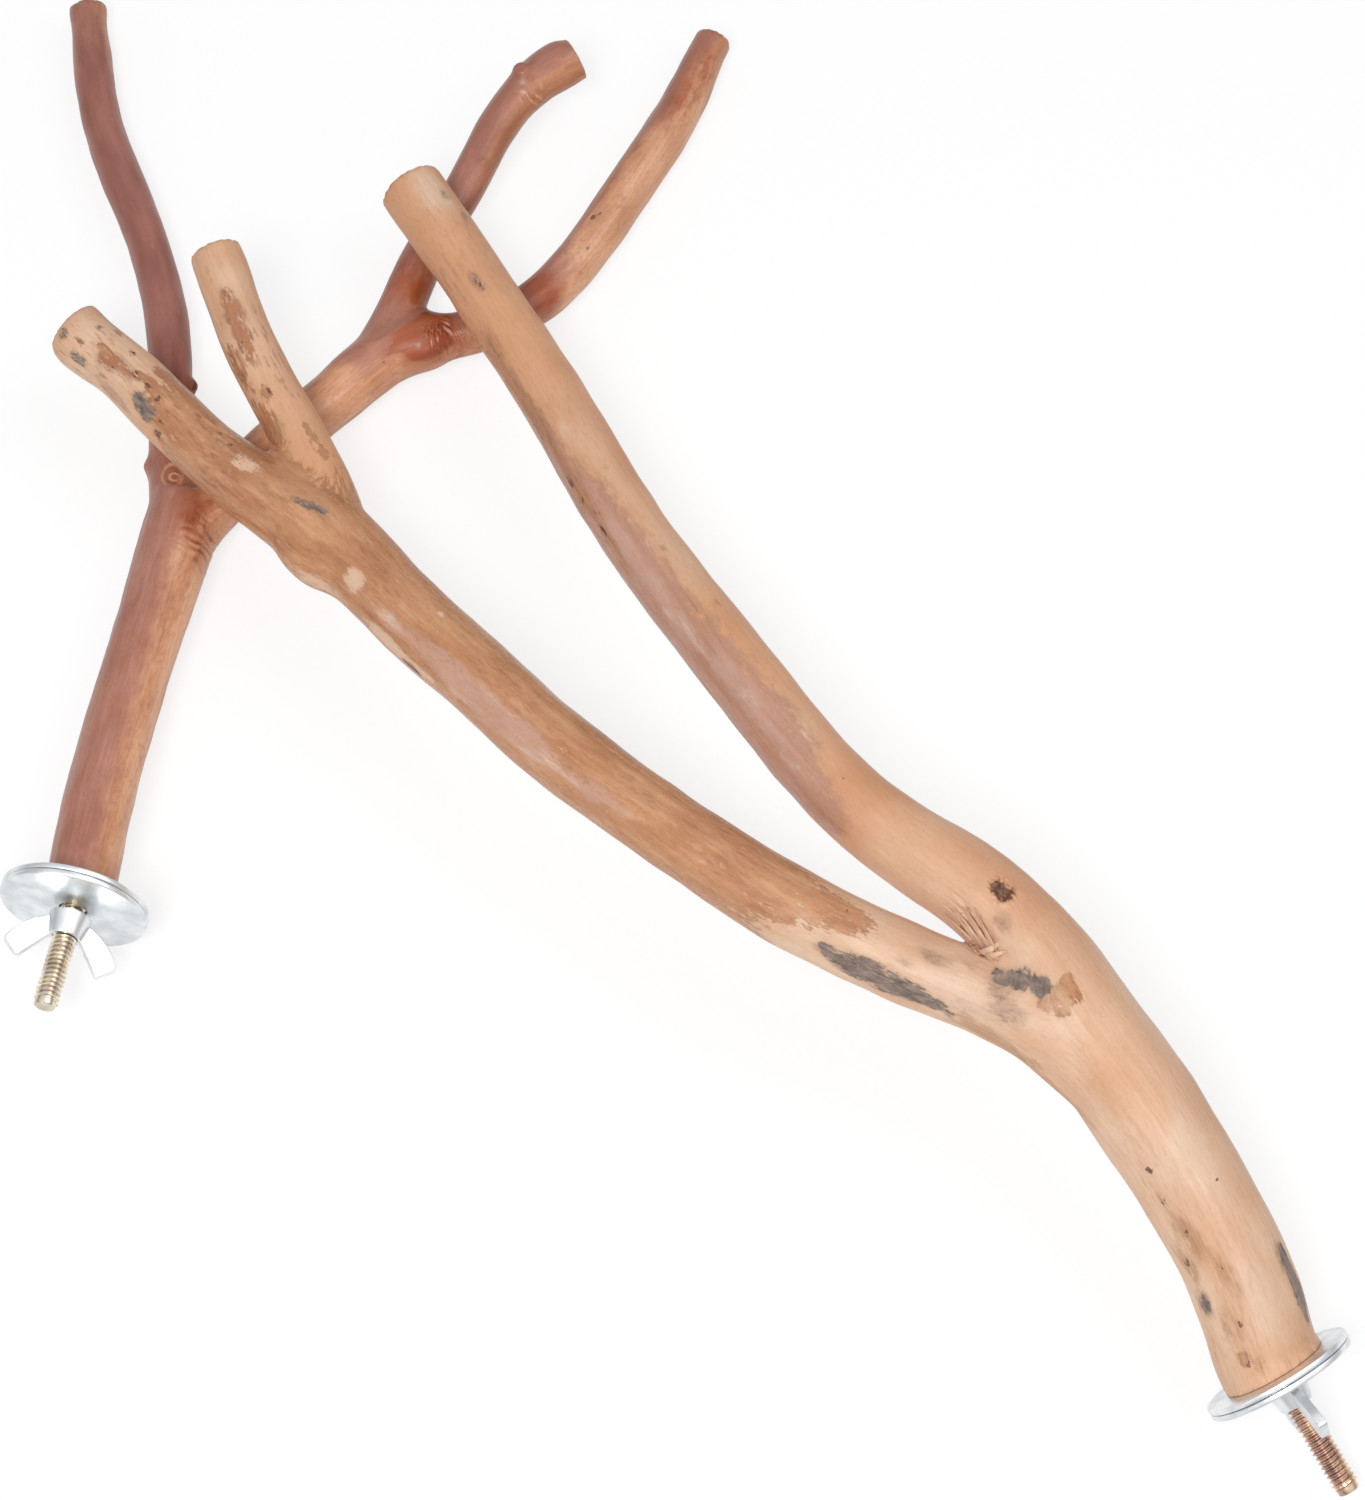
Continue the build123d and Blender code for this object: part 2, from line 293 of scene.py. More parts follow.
# The knot is worn down to a low shelf along the arm
arm, _, _, arm_r = limb_line(LIGHT_LIMBS[1], LIGHT_BUTT)
reach = np.linalg.norm(points * 1000 - LIGHT_KNOT, axis=1)
knot = np.nonzero(reach < KNOT_REACH)[0]
near = np.argmin(np.linalg.norm(points[knot][:, None] - arm[None], axis=2), axis=1)
off = points[knot] - arm[near]
out = np.linalg.norm(off, axis=1)
worn = np.minimum(out, arm_r[near] + KNOT_LEFT * np.maximum(out - arm_r[near], 0))
outer = np.clip(off @ KNOT_SIDE / 0.004, 0, 1)
outer *= np.clip((KNOT_REACH - reach[knot]) / 9, 0, 1)
points[knot] += off * ((worn / out - 1) * outer)[:, None]
place_points(light_branch, points)
ease_forks(light_branch, KNOT_HOLLOWS)
points = points_of(light_branch)
normals = normals_of(light_branch)
grain = grain_of(points, LIGHT_LIMBS, LIGHT_BUTT)
dent = 0.00035 * swell(points, 0.011, 3.1) + 0.0005 * swell(points, 0.035, 8.4)
# A snapped-off twig leaves a ragged socket, and the bark tore where the arms part
snag = np.linalg.norm((points * 1000 - SNAG) * (1.1, 0.8, 1), axis=1)
dent += (0.0004 + 0.0009 * swell(points, 0.0012, 4.4)) * np.exp(-(((snag - 2.4) / 0.8) ** 2))
dent -= (0.0008 + 0.0014 * swell(points, 0.0008, 6.1)) * np.exp(-((snag / 2.1) ** 4))
tear = np.clip(spots(points, grain, [(*TEAR, 8, 2.4, 1)]), 0, 1)
fibres = np.stack([grain[:, 0], grain[:, 1], grain[:, 2] / 12], 1)
dent += tear * (0.0008 * swell(fibres, 0.0007, 2.2) - 0.0003)
dent -= (0.0006 + np.abs(dent)) * at_crossings(points)
cuts = [(at, way, LIGHT_CUT_DEPTH) for at, way in LIGHT_TIPS]
cuts.append((LIGHT_BUTT, seat_of("light").col[2].xyz, LIGHT_BUTT_DEPTH))
points = carve(light_branch, points, normals, dent, cuts, END_REACH)


def settle(piece, seat):
    """Moves a piece that was modelled upright at the origin to its seat, with its place in its mesh."""
    pick(piece)
    piece.matrix_world = seat @ piece.matrix_world
    bpy.ops.object.transform_apply(location=True, rotation=True, scale=True)


def sliver(root, tip, out, width):
    """A flat strip of torn wood, broad at its root and drawn to a point: places in millimetres."""
    root, tip = Vector(root) / 1000, Vector(tip) / 1000
    length = (tip - root).length
    bpy.ops.mesh.primitive_cone_add(vertices=10, radius1=width, radius2=width * 0.2, depth=length)
    strip = bpy.context.object
    bpy.ops.object.mode_set(mode="EDIT")
    bpy.ops.mesh.select_all(action="SELECT")
    bpy.ops.transform.resize(value=(1, 0.4, 1))
    bpy.ops.object.mode_set(mode="OBJECT")
    bpy.ops.object.shade_smooth()
    along = (tip - root).normalized()
    across = Vector(out).cross(along).normalized()
    lie = Matrix((across, along.cross(across), along)).transposed().to_4x4()
    lie.translation = (root + tip) / 2
    settle(strip, lie)
    return strip


# Where the arms part the wood tore: strips stand off the upper arm, rooted in the crotch
STRIPS_FACE = (-0.6, -0.6, 0.53)
strips = []
for root, tip, width in [
    ((79.2, -92.4, 50.2), (70.6, -83.4, 51.4), 0.7), ((79.8, -93.2, 51.2), (72.0, -82.8, 53.2), 0.6),
    ((80.4, -93.6, 52.2), (73.0, -83.6, 55.2), 0.8), ((81.0, -94.2, 53.0), (75.0, -83.8, 56.2), 0.6),
    ((81.6, -94.4, 53.8), (75.4, -84.6, 57.4), 0.8), ((82.2, -94.6, 54.2), (77.8, -84.8, 57.6), 0.7),
    ((82.8, -94.8, 54.8), (78.6, -87.4, 58.2), 0.6), ((80.2, -93.0, 51.8), (75.4, -87.6, 54.4), 0.7),
    ((81.4, -94.0, 53.4), (77.6, -88.6, 56.4), 0.8), ((79.6, -95.6, 53.6), (84.2, -93.0, 56.0), 1.5),
    ((80.6, -96.4, 54.0), (85.4, -95.6, 56.2), 1.2),
]:
    strips.append(sliver(root, tip, STRIPS_FACE, width / 1000))
pick(*strips, light_branch)
bpy.ops.object.join()
raw = np.arange(len(light_branch.data.vertices)) >= len(points)
points = points_of(light_branch)
grain = grain_of(points, LIGHT_LIMBS, LIGHT_BUTT)

# Brown bark that the knife left, along the lower arm, at its tip and on the prong; the two narrow marks down
# the prong's left edge are also its shadow line, painted shade
bark = spots(points, grain, [
    (-126, 61, 36, 9, 4, 1), (-116, 54, 37, 16, 8, 1), (-105, 46, 36, 22, 13, 1), (-84, 22, 40, 24, 13, 1),
    (-60, -2, 44, 28, 14, 1), (-38, -22, 47, 30, 14, 1), (-8, -51, 50, 26, 13, 1), (12, -67, 53, 18, 9, 1),
    (30, -78, 55, 14, 7, 1), (45, -86, 56, 10, 4, 0.9), (-30, -34, 30, 60, 11, 0.9),
    (-100, 40, 20, 30, 11, 0.9), (20, -84, 38, 16, 8, 0.8), (-125, 69, 36, 6, 4.5, 1),
    (-130, 77, 33.5, 5, 2.2, 0.9), (-145, 81.4, 35.8, 3.6, 2.4, 0.6), (-147.3, 86, 36.3, 3, 0.8, 0.9),
    (-148, 92, 36, 1.8, 0.8, 0.9), (-139.4, 77.4, 36.2, 4, 1, 0.7), (-136, 76.6, 36.6, 2.6, 0.9, 1),
    (-138.5, 83.9, 35.7, 1.8, 0.7, 1), (-132.7, 73.5, 36.8, 3.2, 1, 1), (-153, 87, 36, 1.6, 1, 0.8),
    (-142, 90, 34.3, 3, 0.7, 0.8), (-113.3, 97, 44, 4.5, 1.8, 0.5), (-111.2, 91, 43.6, 4.5, 2.4, 0.55),
    (-108.5, 84.5, 42.8, 4.5, 2.6, 0.55), (-106.6, 79.5, 42, 3.4, 1.9, 0.6), (-102, 68.9, 40.3, 2.4, 1, 1),
    (-90.1, 57.4, 39.4, 4, 1.3, 1), (-86.7, 51.6, 39.1, 4, 1.4, 1), (-111, 79, 39.5, 14, 1.8, 0.8),
    (-103, 64, 37, 9, 1.6, 0.8), (-112, 92, 31, 18, 5, 0.9), (-38, 76, 30, 26, 4, 0.8),
    (-60, 122, 19, 20, 6, 0.9), (-20, 42, 22, 30, 8, 1),
])
bark -= np.minimum(bark, spots(points, grain, [(-91, 54, 38.5, 8, 6, 0.7)]))
# A rosy film of inner bark, along the upper arm and in patches at the tips
film = spots(points, grain, [
    (-12.6, 26.6, 42.6, 20, 7, 0.9), (-1, 5.7, 44, 22, 8, 0.95), (14, -16, 48, 20, 9, 1),
    (29, -39, 52, 18, 9, 0.95), (40, -56, 52, 14, 6, 0.7), (-38, 75, 35, 18, 3, 0.7),
    (-27, 54, 36, 14, 4, 0.7), (-145, 81.4, 35.8, 6, 3.2, 0.55), (-139, 77, 36.2, 6, 2, 0.55),
    (-150, 91, 35.5, 3, 1.6, 0.3), (-137, 71, 34, 4, 1.6, 0.6), (-143, 72, 31, 10, 2, 0.6),
    (-110, 88, 43, 12, 3.4, 0.6),
])
# Bare pale spots: chips in the bark, the knot, the trunk's upper side and the sawn ends
pale = spots(points, grain, [
    (-77, 12.5, 42, 3.4, 3, 1.1), (-106, 48, 39, 5, 2.2, 1), (-89, 15, 33, 9, 3.4, 1.1),
    (-80, 6, 36, 6, 2.2, 0.9), (-72, 0, 37, 9, 2, 1), (-65, -6.6, 38.6, 8, 1.7, 1),
    (-57, -15, 39.4, 8, 1.4, 0.9), (-54.2, 0.6, 46.3, 1.6, 0.7, 1.1), (-61, 136, 36, 9, 4, 0.9),
    (40, -88, 46, 26, 5, 0.9), (1.5, 10, 47, 1.8, 2.4, 0.6), (37, -40, 56, 4, 2.2, 0.9),
    (-3, 20, 47.5, 2.6, 1.6, 0.7), (-24, 58, 41.5, 4, 1.4, 0.5), (128.5, -144, 51, 16, 5, 0.9),
    (144, -174.8, 39.3, 14, 5, 0.9), (67, -104, 55.3, 12, 5, 0.5), (77, -110, 53, 10, 5, 0.6),
    (-153, 92, 35.5, 6, 5, 0.3), (-148.9, 90.2, 36.5, 5, 4, 0.45), (-114, 101, 44, 6, 4, 0.3),
])
# Grey weather stains at the crotch, on the lower arm's foot, at the butt and at the tips
grey = spots(points, grain, [
    (84.2, -102, 56.5, 3, 2.2, 0.9), (88.8, -103, 56, 3.2, 2.7, 1.1), (93, -105.3, 57.5, 2.6, 2.2, 0.95),
    (41.5, -93.6, 52.5, 3.2, 1.5, 0.9), (47.3, -97.5, 52, 5, 2.6, 1), (54.4, -101, 52, 6, 3.1, 1.05),
    (61, -104.3, 52.3, 5.5, 2.5, 1.05), (66.3, -107, 51.7, 4, 1.3, 0.95), (71, -109.6, 50.6, 2, 0.8, 0.85),
    (131.3, -176, 32.4, 2.4, 1.7, 0.95), (150.3, -166.2, 36.8, 5, 1.9, 1), (153.1, -172.7, 34, 7, 2.1, 1.1),
    (155.6, -176.7, 30.3, 6, 1.7, 1), (-91.6, 35.7, 41.5, 3.6, 0.8, 0.55),
    (-87, 33.3, 42.2, 3.6, 0.9, 0.75), (-136.2, 69.3, 35.1, 2.2, 1.8, 1.6),
    (-134, 65.8, 34.6, 2.4, 1.8, 1.6), (-157.8, 90, 35.3, 1.6, 1.3, 1), (-153.7, 83.6, 33, 3.2, 1.2, 1),
    (120, -140, 22, 14, 4, 0.9), (-40, -20, 27, 12, 3, 0.9),
])
# Smoky clouds beside the stains
smoke = spots(points, grain, [
    (83.7, -109, 56.3, 4, 3.4, 0.45), (86.1, -111.6, 55.7, 5, 3, 0.5), (82.9, -104.6, 57, 4, 2.6, 0.5),
    (84.3, -89, 58.2, 3.4, 2.4, 0.55), (67.3, -97.2, 57.2, 5, 1.8, 0.9), (61, -98.6, 57, 3, 1.4, 0.6),
    (-57.3, 134.3, 35, 2.8, 2, 0.6), (-52, 128, 34, 4, 1.2, 0.7), (-33, 97.7, 35.5, 5, 0.9, 0.6),
    (72, -106, 53, 14, 3, 0.35), (150, -167, 38, 10, 3, 0.6), (131, -176, 32.4, 4, 3, 0.7),
    (-48.7, 106, 37.4, 2.6, 1.2, 1.3), (-46.8, 103.2, 37.6, 2, 1, 1.2),
])
# Ochre crusts beside the crotch's stain and in the torn places
ochre = spots(points, grain, [
    (95.3, -107.8, 58, 2.2, 1.8, 1), (97.6, -111, 58, 2.6, 1.7, 1.1), (94, -110, 57, 2.2, 1.7, 0.9),
    (99, -106, 59.5, 2.4, 2, 0.85), (98.4, -109, 58.7, 1.8, 1.8, 1.2), (101, -108.4, 59.4, 2.4, 1.9, 0.95),
    (99.4, -103.7, 59.8, 1.3, 1.1, 0.9), (140, -189, 30.7, 2.2, 1.8, 0.7), (78.5, -91, 52, 7, 2.4, 1.1),
    (84.7, -81, 59.3, 3.6, 2.6, 0.9),
])
# Brown streaks down the trunk and along the arms' edges; the two marks down the prong's left edge are a
# painted shadow line
brown = spots(points, grain, [
    (120.2, -153, 44.4, 4, 1.2, 0.6), (123.3, -158.3, 42.2, 4, 1.5, 0.75),
    (126.4, -161.3, 42.2, 4, 1.8, 0.75), (129.4, -164.2, 42.1, 4, 2, 0.75),
    (134.4, -169.9, 40.9, 5, 2.2, 0.65), (137.9, -174.4, 39.4, 6, 2.4, 0.45),
    (128, -166.5, 39.2, 6, 2.6, 0.4), (138.9, -181.8, 35.1, 7, 1.8, 0.45), (126.3, -167, 35.3, 5, 1, 1),
    (128.9, -170.8, 35.1, 5, 1.2, 1), (136.3, -182.6, 32.8, 6, 2, 0.7), (149.7, -189.7, 31.9, 5, 5, 0.4),
    (155.8, -185, 29.4, 5, 3, 0.45), (143.6, -191.7, 30.7, 4, 0.8, 1), (79, -113.5, 50, 8, 2.2, 1.1),
    (84.5, -117, 46, 8, 2.6, 1.1), (98, -127, 42, 12, 2.6, 0.8), (-28, 55.8, 37.9, 9, 1.6, 1),
    (-35.5, 70.6, 36, 9, 1.8, 1), (-41, 82.7, 36.1, 9, 1.6, 0.9), (-12.2, 44.1, 44.4, 1.2, 0.6, 0.9),
    (11.8, -3.3, 50.4, 9, 3, 0.6), (15.8, 2.1, 49.8, 1.8, 0.8, 1.1), (2.1, 19, 47.7, 1.6, 0.6, 0.9),
    (-97, 58, 38, 10, 1.3, 0.9), (-112, 88, 39, 16, 1.4, 0.9), (76, -99, 57, 6, 2.6, 0.5),
    (-20.8, 40.7, 39.4, 7, 1.1, 1.1), (-16.6, 33.2, 41.2, 7, 1.1, 1.1), (-12.3, 25.6, 42.3, 7, 1, 1),
    (-4, 12, 42, 8, 1, 0.9),
])
# Deep holes, cracks and dark specks
hole = spots(points, grain, [
    (117.8, -148, 47, 1, 0.9, 1.1), (140.9, -190, 30.6, 1.8, 0.4, 0.8),
    (138.9, -181.8, 35.1, 0.9, 0.5, 0.8), (133.7, -150.6, 48.2, 0.35, 0.35, 0.9),
    (136.7, -145.5, 47, 0.35, 0.35, 0.9), (-111, 54.8, 37.6, 1.3, 0.6, 1),
    (-113.5, 58.7, 36.6, 1, 0.5, 0.9), (-131.4, 61, 32.8, 1.8, 0.8, 1), (-130.9, 69.2, 36.7, 1.1, 0.8, 1),
    (47, -84.8, 56, 0.4, 0.4, 0.9), (84.6, -81.4, 59.3, 3, 1.9, 1.2), (80.2, -95.4, 53, 0.8, 2.6, 0.8),
    (-48.7, 106, 37.4, 2.4, 0.9, 0.75), (-46.8, 103.2, 37.6, 1.6, 0.7, 0.65),
    (-58, 134.6, 34.6, 1.8, 0.6, 0.4), (-63.3, -8.4, 37.4, 4, 0.7, 0.8), (-60.7, -11.2, 37.4, 3, 0.6, 0.8),
    (-21.6, 42.3, 39.1, 3, 0.7, 0.7), (-13.4, 27.3, 41.9, 3, 0.7, 0.7), (-18.4, 36, 40.2, 1.4, 0.5, 0.8),
    (-137.2, 76.7, 36.5, 2, 0.8, 0.8), (-134.3, 73.5, 36.7, 1.8, 0.7, 0.8),
    (-130.2, 63.3, 35.4, 1.6, 0.6, 0.8), (-147.7, 91.1, 36.1, 2, 0.6, 0.7),
    (-138.7, 83.8, 35.8, 1.8, 0.6, 0.7), (-143.3, 79.1, 35.6, 2, 0.6, 0.5),
    (-101.5, 69.4, 40.6, 2.4, 0.8, 0.6), (-111.4, 96.6, 44.1, 2.4, 0.6, 0.5),
    (-108.3, 82.4, 42.3, 2.6, 0.6, 0.5), (120.4, -153.6, 44.4, 3, 0.5, 0.5),
    (126.2, -161.2, 42.2, 3, 0.5, 0.5), (134.4, -169.9, 40.9, 2.4, 0.5, 0.45),
    (127.4, -168.4, 35.8, 4, 0.5, 0.42),
])
# Where flecks of bark flock
mottle = spots(points, grain, [
    (-146, 80, 30, 22, 14, 1), (-108, 80, 36, 34, 11, 0.9), (20, -76, 44, 34, 8, 0.6),
    (130, -165, 34, 34, 10, 0.4), (-106, 50, 38, 14, 8, 0.8), (-48, 104, 30, 60, 9, 0.35),
    (-18, 36, 40.5, 16, 2.4, 1), (-6, 14, 42, 16, 2, 0.8),
])
mottle -= np.minimum(mottle, spots(points, grain, [(-94, 50, 38, 10, 9, 1), (-90, 40, 41, 8, 6, 0.8)]))
# Painted sheen: a rosy highlight painted along the arms' upper sides
painted_sheen = spots(points, grain, [
    (-11.3, 28.5, 44.4, 9, 2, 0.5), (-7.9, 21.1, 44.8, 9, 2.4, 0.7), (0.3, 7.2, 46.4, 10, 2.8, 0.9),
    (8, -4.5, 48, 10, 3, 1), (18, -17.9, 50.8, 11, 3, 1), (27, -32.6, 53, 11, 3, 0.8),
    (33, -44, 53.2, 8, 2.6, 0.5), (-65.7, -1, 43.1, 9, 2.6, 0.7), (-56, -10.2, 45, 10, 2.8, 0.8),
    (-48.7, -18.4, 45.6, 10, 3, 0.9), (-40.6, -26.9, 46.6, 10, 3.2, 1), (-34.5, -33.3, 47.1, 10, 3.2, 1),
    (-28.4, -38.7, 48, 10, 3.2, 1), (-19.3, -47, 48.9, 10, 2.8, 0.7), (-8.1, -56.2, 50.1, 10, 2.4, 0.5),
    (-76, 10, 42, 8, 3, 0.3),
])
# Tan towards the tips and in patches on the trunk, paler on the lower arm's foot and at the far ends
tan = np.clip((grain[:, 2] - 0.075) / 0.11, 0, 1) * 0.9
tan += 0.25 * spots(points, grain, [(90, -82, 58, 18, 12, 1)])
tan -= np.clip(spots(points, grain, [(70, -100, 52, 34, 14, 1), (40, -88, 48, 30, 10, 0.8)]), 0, 1)
tan -= np.clip(spots(points, grain, [(-150, 84, 33, 26, 14, 0.8), (-112, 94, 40, 34, 10, 0.6)]), 0, 1)
tan -= 0.6 * np.clip(pale, 0, 1)
tan -= 0.6 * spots(points, grain, [
    (-14, 47, 44, 24, 5, 0.9), (5, 18, 48, 14, 5, 0.8), (37, -34, 56, 9, 4, 0.9),
])
tan += 0.55 * spots(points, grain, [
    (109, -125, 54, 16, 7, 0.8), (122.6, -139.8, 52.9, 12, 6, 0.7), (134, -165, 43, 14, 5, 0.8),
    (149, -187, 33, 6, 10, 0.5),
])
for layer in (bark, film, grey, smoke, ochre, brown, hole, mottle, painted_sheen, tan):
    layer[raw] = 0
store(light_branch, "grain", "FLOAT_VECTOR", [*grain.T])
store(light_branch, "stains", "FLOAT_COLOR", [bark, grey, ochre, film])
store(light_branch, "marks", "FLOAT_COLOR", [hole, pale, sawn(light_branch, LIGHT_TIPS), mottle])
store(light_branch, "tones", "FLOAT_COLOR", [np.clip(tan, 0, 1), smoke, brown, painted_sheen])


def linear(hex_colour):
    """An sRGB hex colour as the linear colour that a shader takes."""
    parts = [int(hex_colour[i:i + 2], 16) / 255 for i in (1, 3, 5)]
    return [p / 12.92 if p <= 0.04045 else ((p + 0.055) / 1.055) ** 2.4 for p in parts] + [1]


def add(tree, kind, links=None, **settings):
    """Adds a node with its settings; links gives each socket a value or another node's output."""
    made = tree.nodes.new("ShaderNode" + kind)
    for name, value in settings.items():
        setattr(made, name, value)
    for socket, value in (links or {}).items():
        if isinstance(value, bpy.types.NodeSocket):
            tree.links.new(value, made.inputs[socket])
        else:
            made.inputs[socket].default_value = value
    return made.outputs[0]


def new_finish(name):
    """An empty material: its node tree and the shader that its surface uses."""
    finish = bpy.data.materials.new(name)
    finish.use_nodes = True
    return finish, finish.node_tree, finish.node_tree.nodes["Principled BSDF"]


def layers_of(tree, name):
    """The four layers of marks that a branch keeps under a name."""
    kept = add(tree, "Attribute", attribute_name=name).node
    parts = add(tree, "SeparateColor", {0: kept.outputs["Color"]}).node
    return [*parts.outputs, kept.outputs["Alpha"]]


def pattern(tree, run, width, length, detail=5, roughness=0.5):
    """Noise drawn out along the grain, its marks about this wide and this long in millimetres."""
    scale = (1000 / width, 1000 / width, 1000 / length)
    drawn = add(tree, "Mapping", {"Vector": run, "Scale": scale})
    wanted = {"Vector": drawn, "Scale": 1, "Detail": detail, "Roughness": roughness}
    return add(tree, "TexNoise", wanted)


def edge(tree, cover, torn, low, high):
    """A mark's cover with its outline torn by a pattern that averages 1: from 0 outside to 1 inside."""
    ragged_cover = add(tree, "Math", {0: cover, 1: torn}, operation="MULTIPLY")
    levels = {0: ragged_cover, 1: low, 2: high}
    return add(tree, "MapRange", levels, interpolation_type="SMOOTHSTEP")


def coat(tree, under, colour, cover, strength=1):
    """A coat of colour over what lies under it: cover says where it is, strength how thick."""
    share = add(tree, "Math", {0: cover, 1: strength}, operation="MULTIPLY", use_clamp=True)
    under, colour = [linear(c) if isinstance(c, str) else c for c in (under, colour)]
    return add(tree, "Mix", {0: share, 6: under, 7: colour}, data_type="RGBA").node.outputs[2]


def coats(tree, under, layers):
    """Coats of colour one over the other: each is a colour, where it is and how thick."""
    for layer in layers:
        under = coat(tree, under, *layer)
    return under


def end_grain(tree, place, run, spacing, early, late, heart):
    """A sawn end: uneven year rings round an off-centre pith, scored across by the saw every 0.8 mm."""
    flat = add(tree, "VectorMath", {0: run, 1: (1, 1, 0)}, operation="MULTIPLY")
    pith = add(tree, "VectorMath", {0: flat, 1: (0.0014, -0.0009, 0)}, operation="SUBTRACT")
    out = add(tree, "VectorMath", {0: pith}, operation="LENGTH").node.outputs["Value"]
    uneven = pattern(tree, place, 6, 6, detail=3)
    broken = add(tree, "MapRange", {0: uneven, 1: 0.36, 2: 0.62, 3: 0.15, 4: 0.75})
    wobble = add(tree, "Math", {0: uneven, 1: 0.0026, 2: out}, operation="MULTIPLY_ADD")
    turns = add(tree, "Math", {0: wobble, 1: 2 * math.pi / spacing}, operation="MULTIPLY")
    wave = add(tree, "Math", {0: turns}, operation="SINE")
    rings = add(tree, "MapRange", {0: wave, 1: -0.4, 2: 1})
    rings = add(tree, "Math", {0: rings, 1: broken}, operation="MULTIPLY")
    scores = add(tree, "Mapping", {"Vector": place, "Scale": (1250, 90, 1250)})
    scored = add(tree, "TexNoise", {"Vector": scores, "Scale": 1, "Detail": 3})
    scored = add(tree, "MapRange", {0: scored, 1: 0.45, 2: 0.66})
    middle = add(tree, "MapRange", {0: out, 1: 0.0013, 2: 0.0005})
    return coats(tree, early, [(late, rings), (late, scored, 0.4), (heart, middle, 0.7)])


# Peeled hardwood, rubbed by hand: pale sapwood that turns tan towards the tips, left-over inner bark in
# ragged brown films along the grain, grey weather stains with dark rims, and ringed end grain at the cuts.
pale_wood, tree, shader = new_finish("peeled_hardwood")
place = add(tree, "TexCoord").node.outputs["Object"]
run = add(tree, "Attribute", attribute_name="grain").node.outputs["Vector"]
bark_at, grey_at, ochre_at, film_at = layers_of(tree, "stains")
hole_at, pale_at, cut_at, mottle_at = layers_of(tree, "marks")
tan_at, smoke_at, brown_at, painted_sheen_at = layers_of(tree, "tones")
# Growth streaks, fibres, grit and flecks of left-over bark, with slow blotches and patches between them
streak = pattern(tree, run, 2, 40)
fibre = pattern(tree, run, 0.6, 17, detail=3)
grit = pattern(tree, run, 0.65, 1.9, roughness=0.65)
fleck = pattern(tree, run, 1.05, 4.8, detail=4)
ragged = pattern(tree, run, 2.1, 4.8, detail=8, roughness=0.68)
worn = pattern(tree, run, 3.1, 13, detail=6, roughness=0.62)
blotch = pattern(tree, run, 8, 20)
patch = pattern(tree, run, 12, 33, detail=4)
cloud = pattern(tree, place, 30, 30, detail=3)
streaky, fibrous, gritty, flecked, worn_off, worn_in, blotchy, patchy, cloudy = [
    add(tree, "MapRange", {0: drawn, 1: low, 2: high})
    for drawn, low, high in (
        (streak, 0.34, 0.68), (fibre, 0.38, 0.66), (grit, 0.48, 0.68), (fleck, 0.56, 0.64),
        (worn, 0.53, 0.68), (worn, 0.44, 0.32), (blotch, 0.4, 0.66), (patch, 0.42, 0.62), (cloud, 0.35, 0.68),
    )
]
# What tears the outlines of the marks
frayed = add(tree, "Math", {0: ragged, 1: 3.4, 2: -0.7}, operation="MULTIPLY_ADD")
torn = add(tree, "Math", {0: fibre, 1: 1.1, 2: frayed}, operation="MULTIPLY_ADD")
torn = add(tree, "Math", {0: grit, 1: 3, 2: torn}, operation="MULTIPLY_ADD")
torn = add(tree, "Math", {0: torn, 1: 2.05}, operation="SUBTRACT")
# Bare wood
sapwood = coat(tree, "#EBCBAF", "#DFB392", cloudy)
tan_wood = coat(tree, "#E1A87F", "#D19066", cloudy)
wood = coats(tree, sapwood, [
    (tan_wood, tan_at), ("#DAA78B", patchy, 0.3), ("#C9936C", streaky, 0.22), ("#CF9669", blotchy, 0.3),
    ("#B98460", fibrous, 0.13), ("#B07B58", gritty, 0.2),
])
cream_share = edge(tree, pale_at, frayed, 0, 1.2)
wood = coat(tree, wood, "#EFD9C6", cream_share, 0.32)
# A thin rosy film of the innermost bark
film_share = edge(tree, film_at, frayed, 0.25, 0.8)
film_rim = edge(tree, film_at, frayed, 0.8, 0.4)
film_colour = coats(tree, "#C69682", [
    ("#AC7D6A", streaky), ("#8F6453", gritty, 0.35), ("#8E634C", film_rim, 0.35),
])
wood = coat(tree, wood, film_colour, film_share, 0.85)
# Brown bark that the knife left, worn through in streaks
bark_share = edge(tree, bark_at, torn, 0.36, 0.72)
bark_rim = edge(tree, bark_at, torn, 0.75, 0.5)
pale_share = edge(tree, pale_at, torn, 0.35, 0.75)
bark_left = add(tree, "Math", {0: bark_share, 1: pale_share}, operation="SUBTRACT", use_clamp=True)
worn_room = add(tree, "Math", {0: mottle_at, 1: 0.5, 2: 0.4}, operation="MULTIPLY_ADD")
worn_left = add(tree, "Math", {0: worn_off, 1: worn_room}, operation="MULTIPLY")
bark_colour = coats(tree, "#DBA47A", [
    ("#C5895F", blotchy), ("#CA8D6C", patchy, 0.3), ("#A96E49", streaky, 0.5), ("#976242", fibrous, 0.25),
    ("#96623F", gritty, 0.35), ("#A66C4A", mottle_at, 0.5), ("#95603D", worn_in, 0.5),
    ("#E0B48C", worn_left),
])
wood = coat(tree, wood, bark_colour, bark_left)
bark_rim = add(tree, "Math", {0: bark_rim, 1: bark_left}, operation="MULTIPLY")
wood = coat(tree, wood, "#85532F", bark_rim, 0.45)
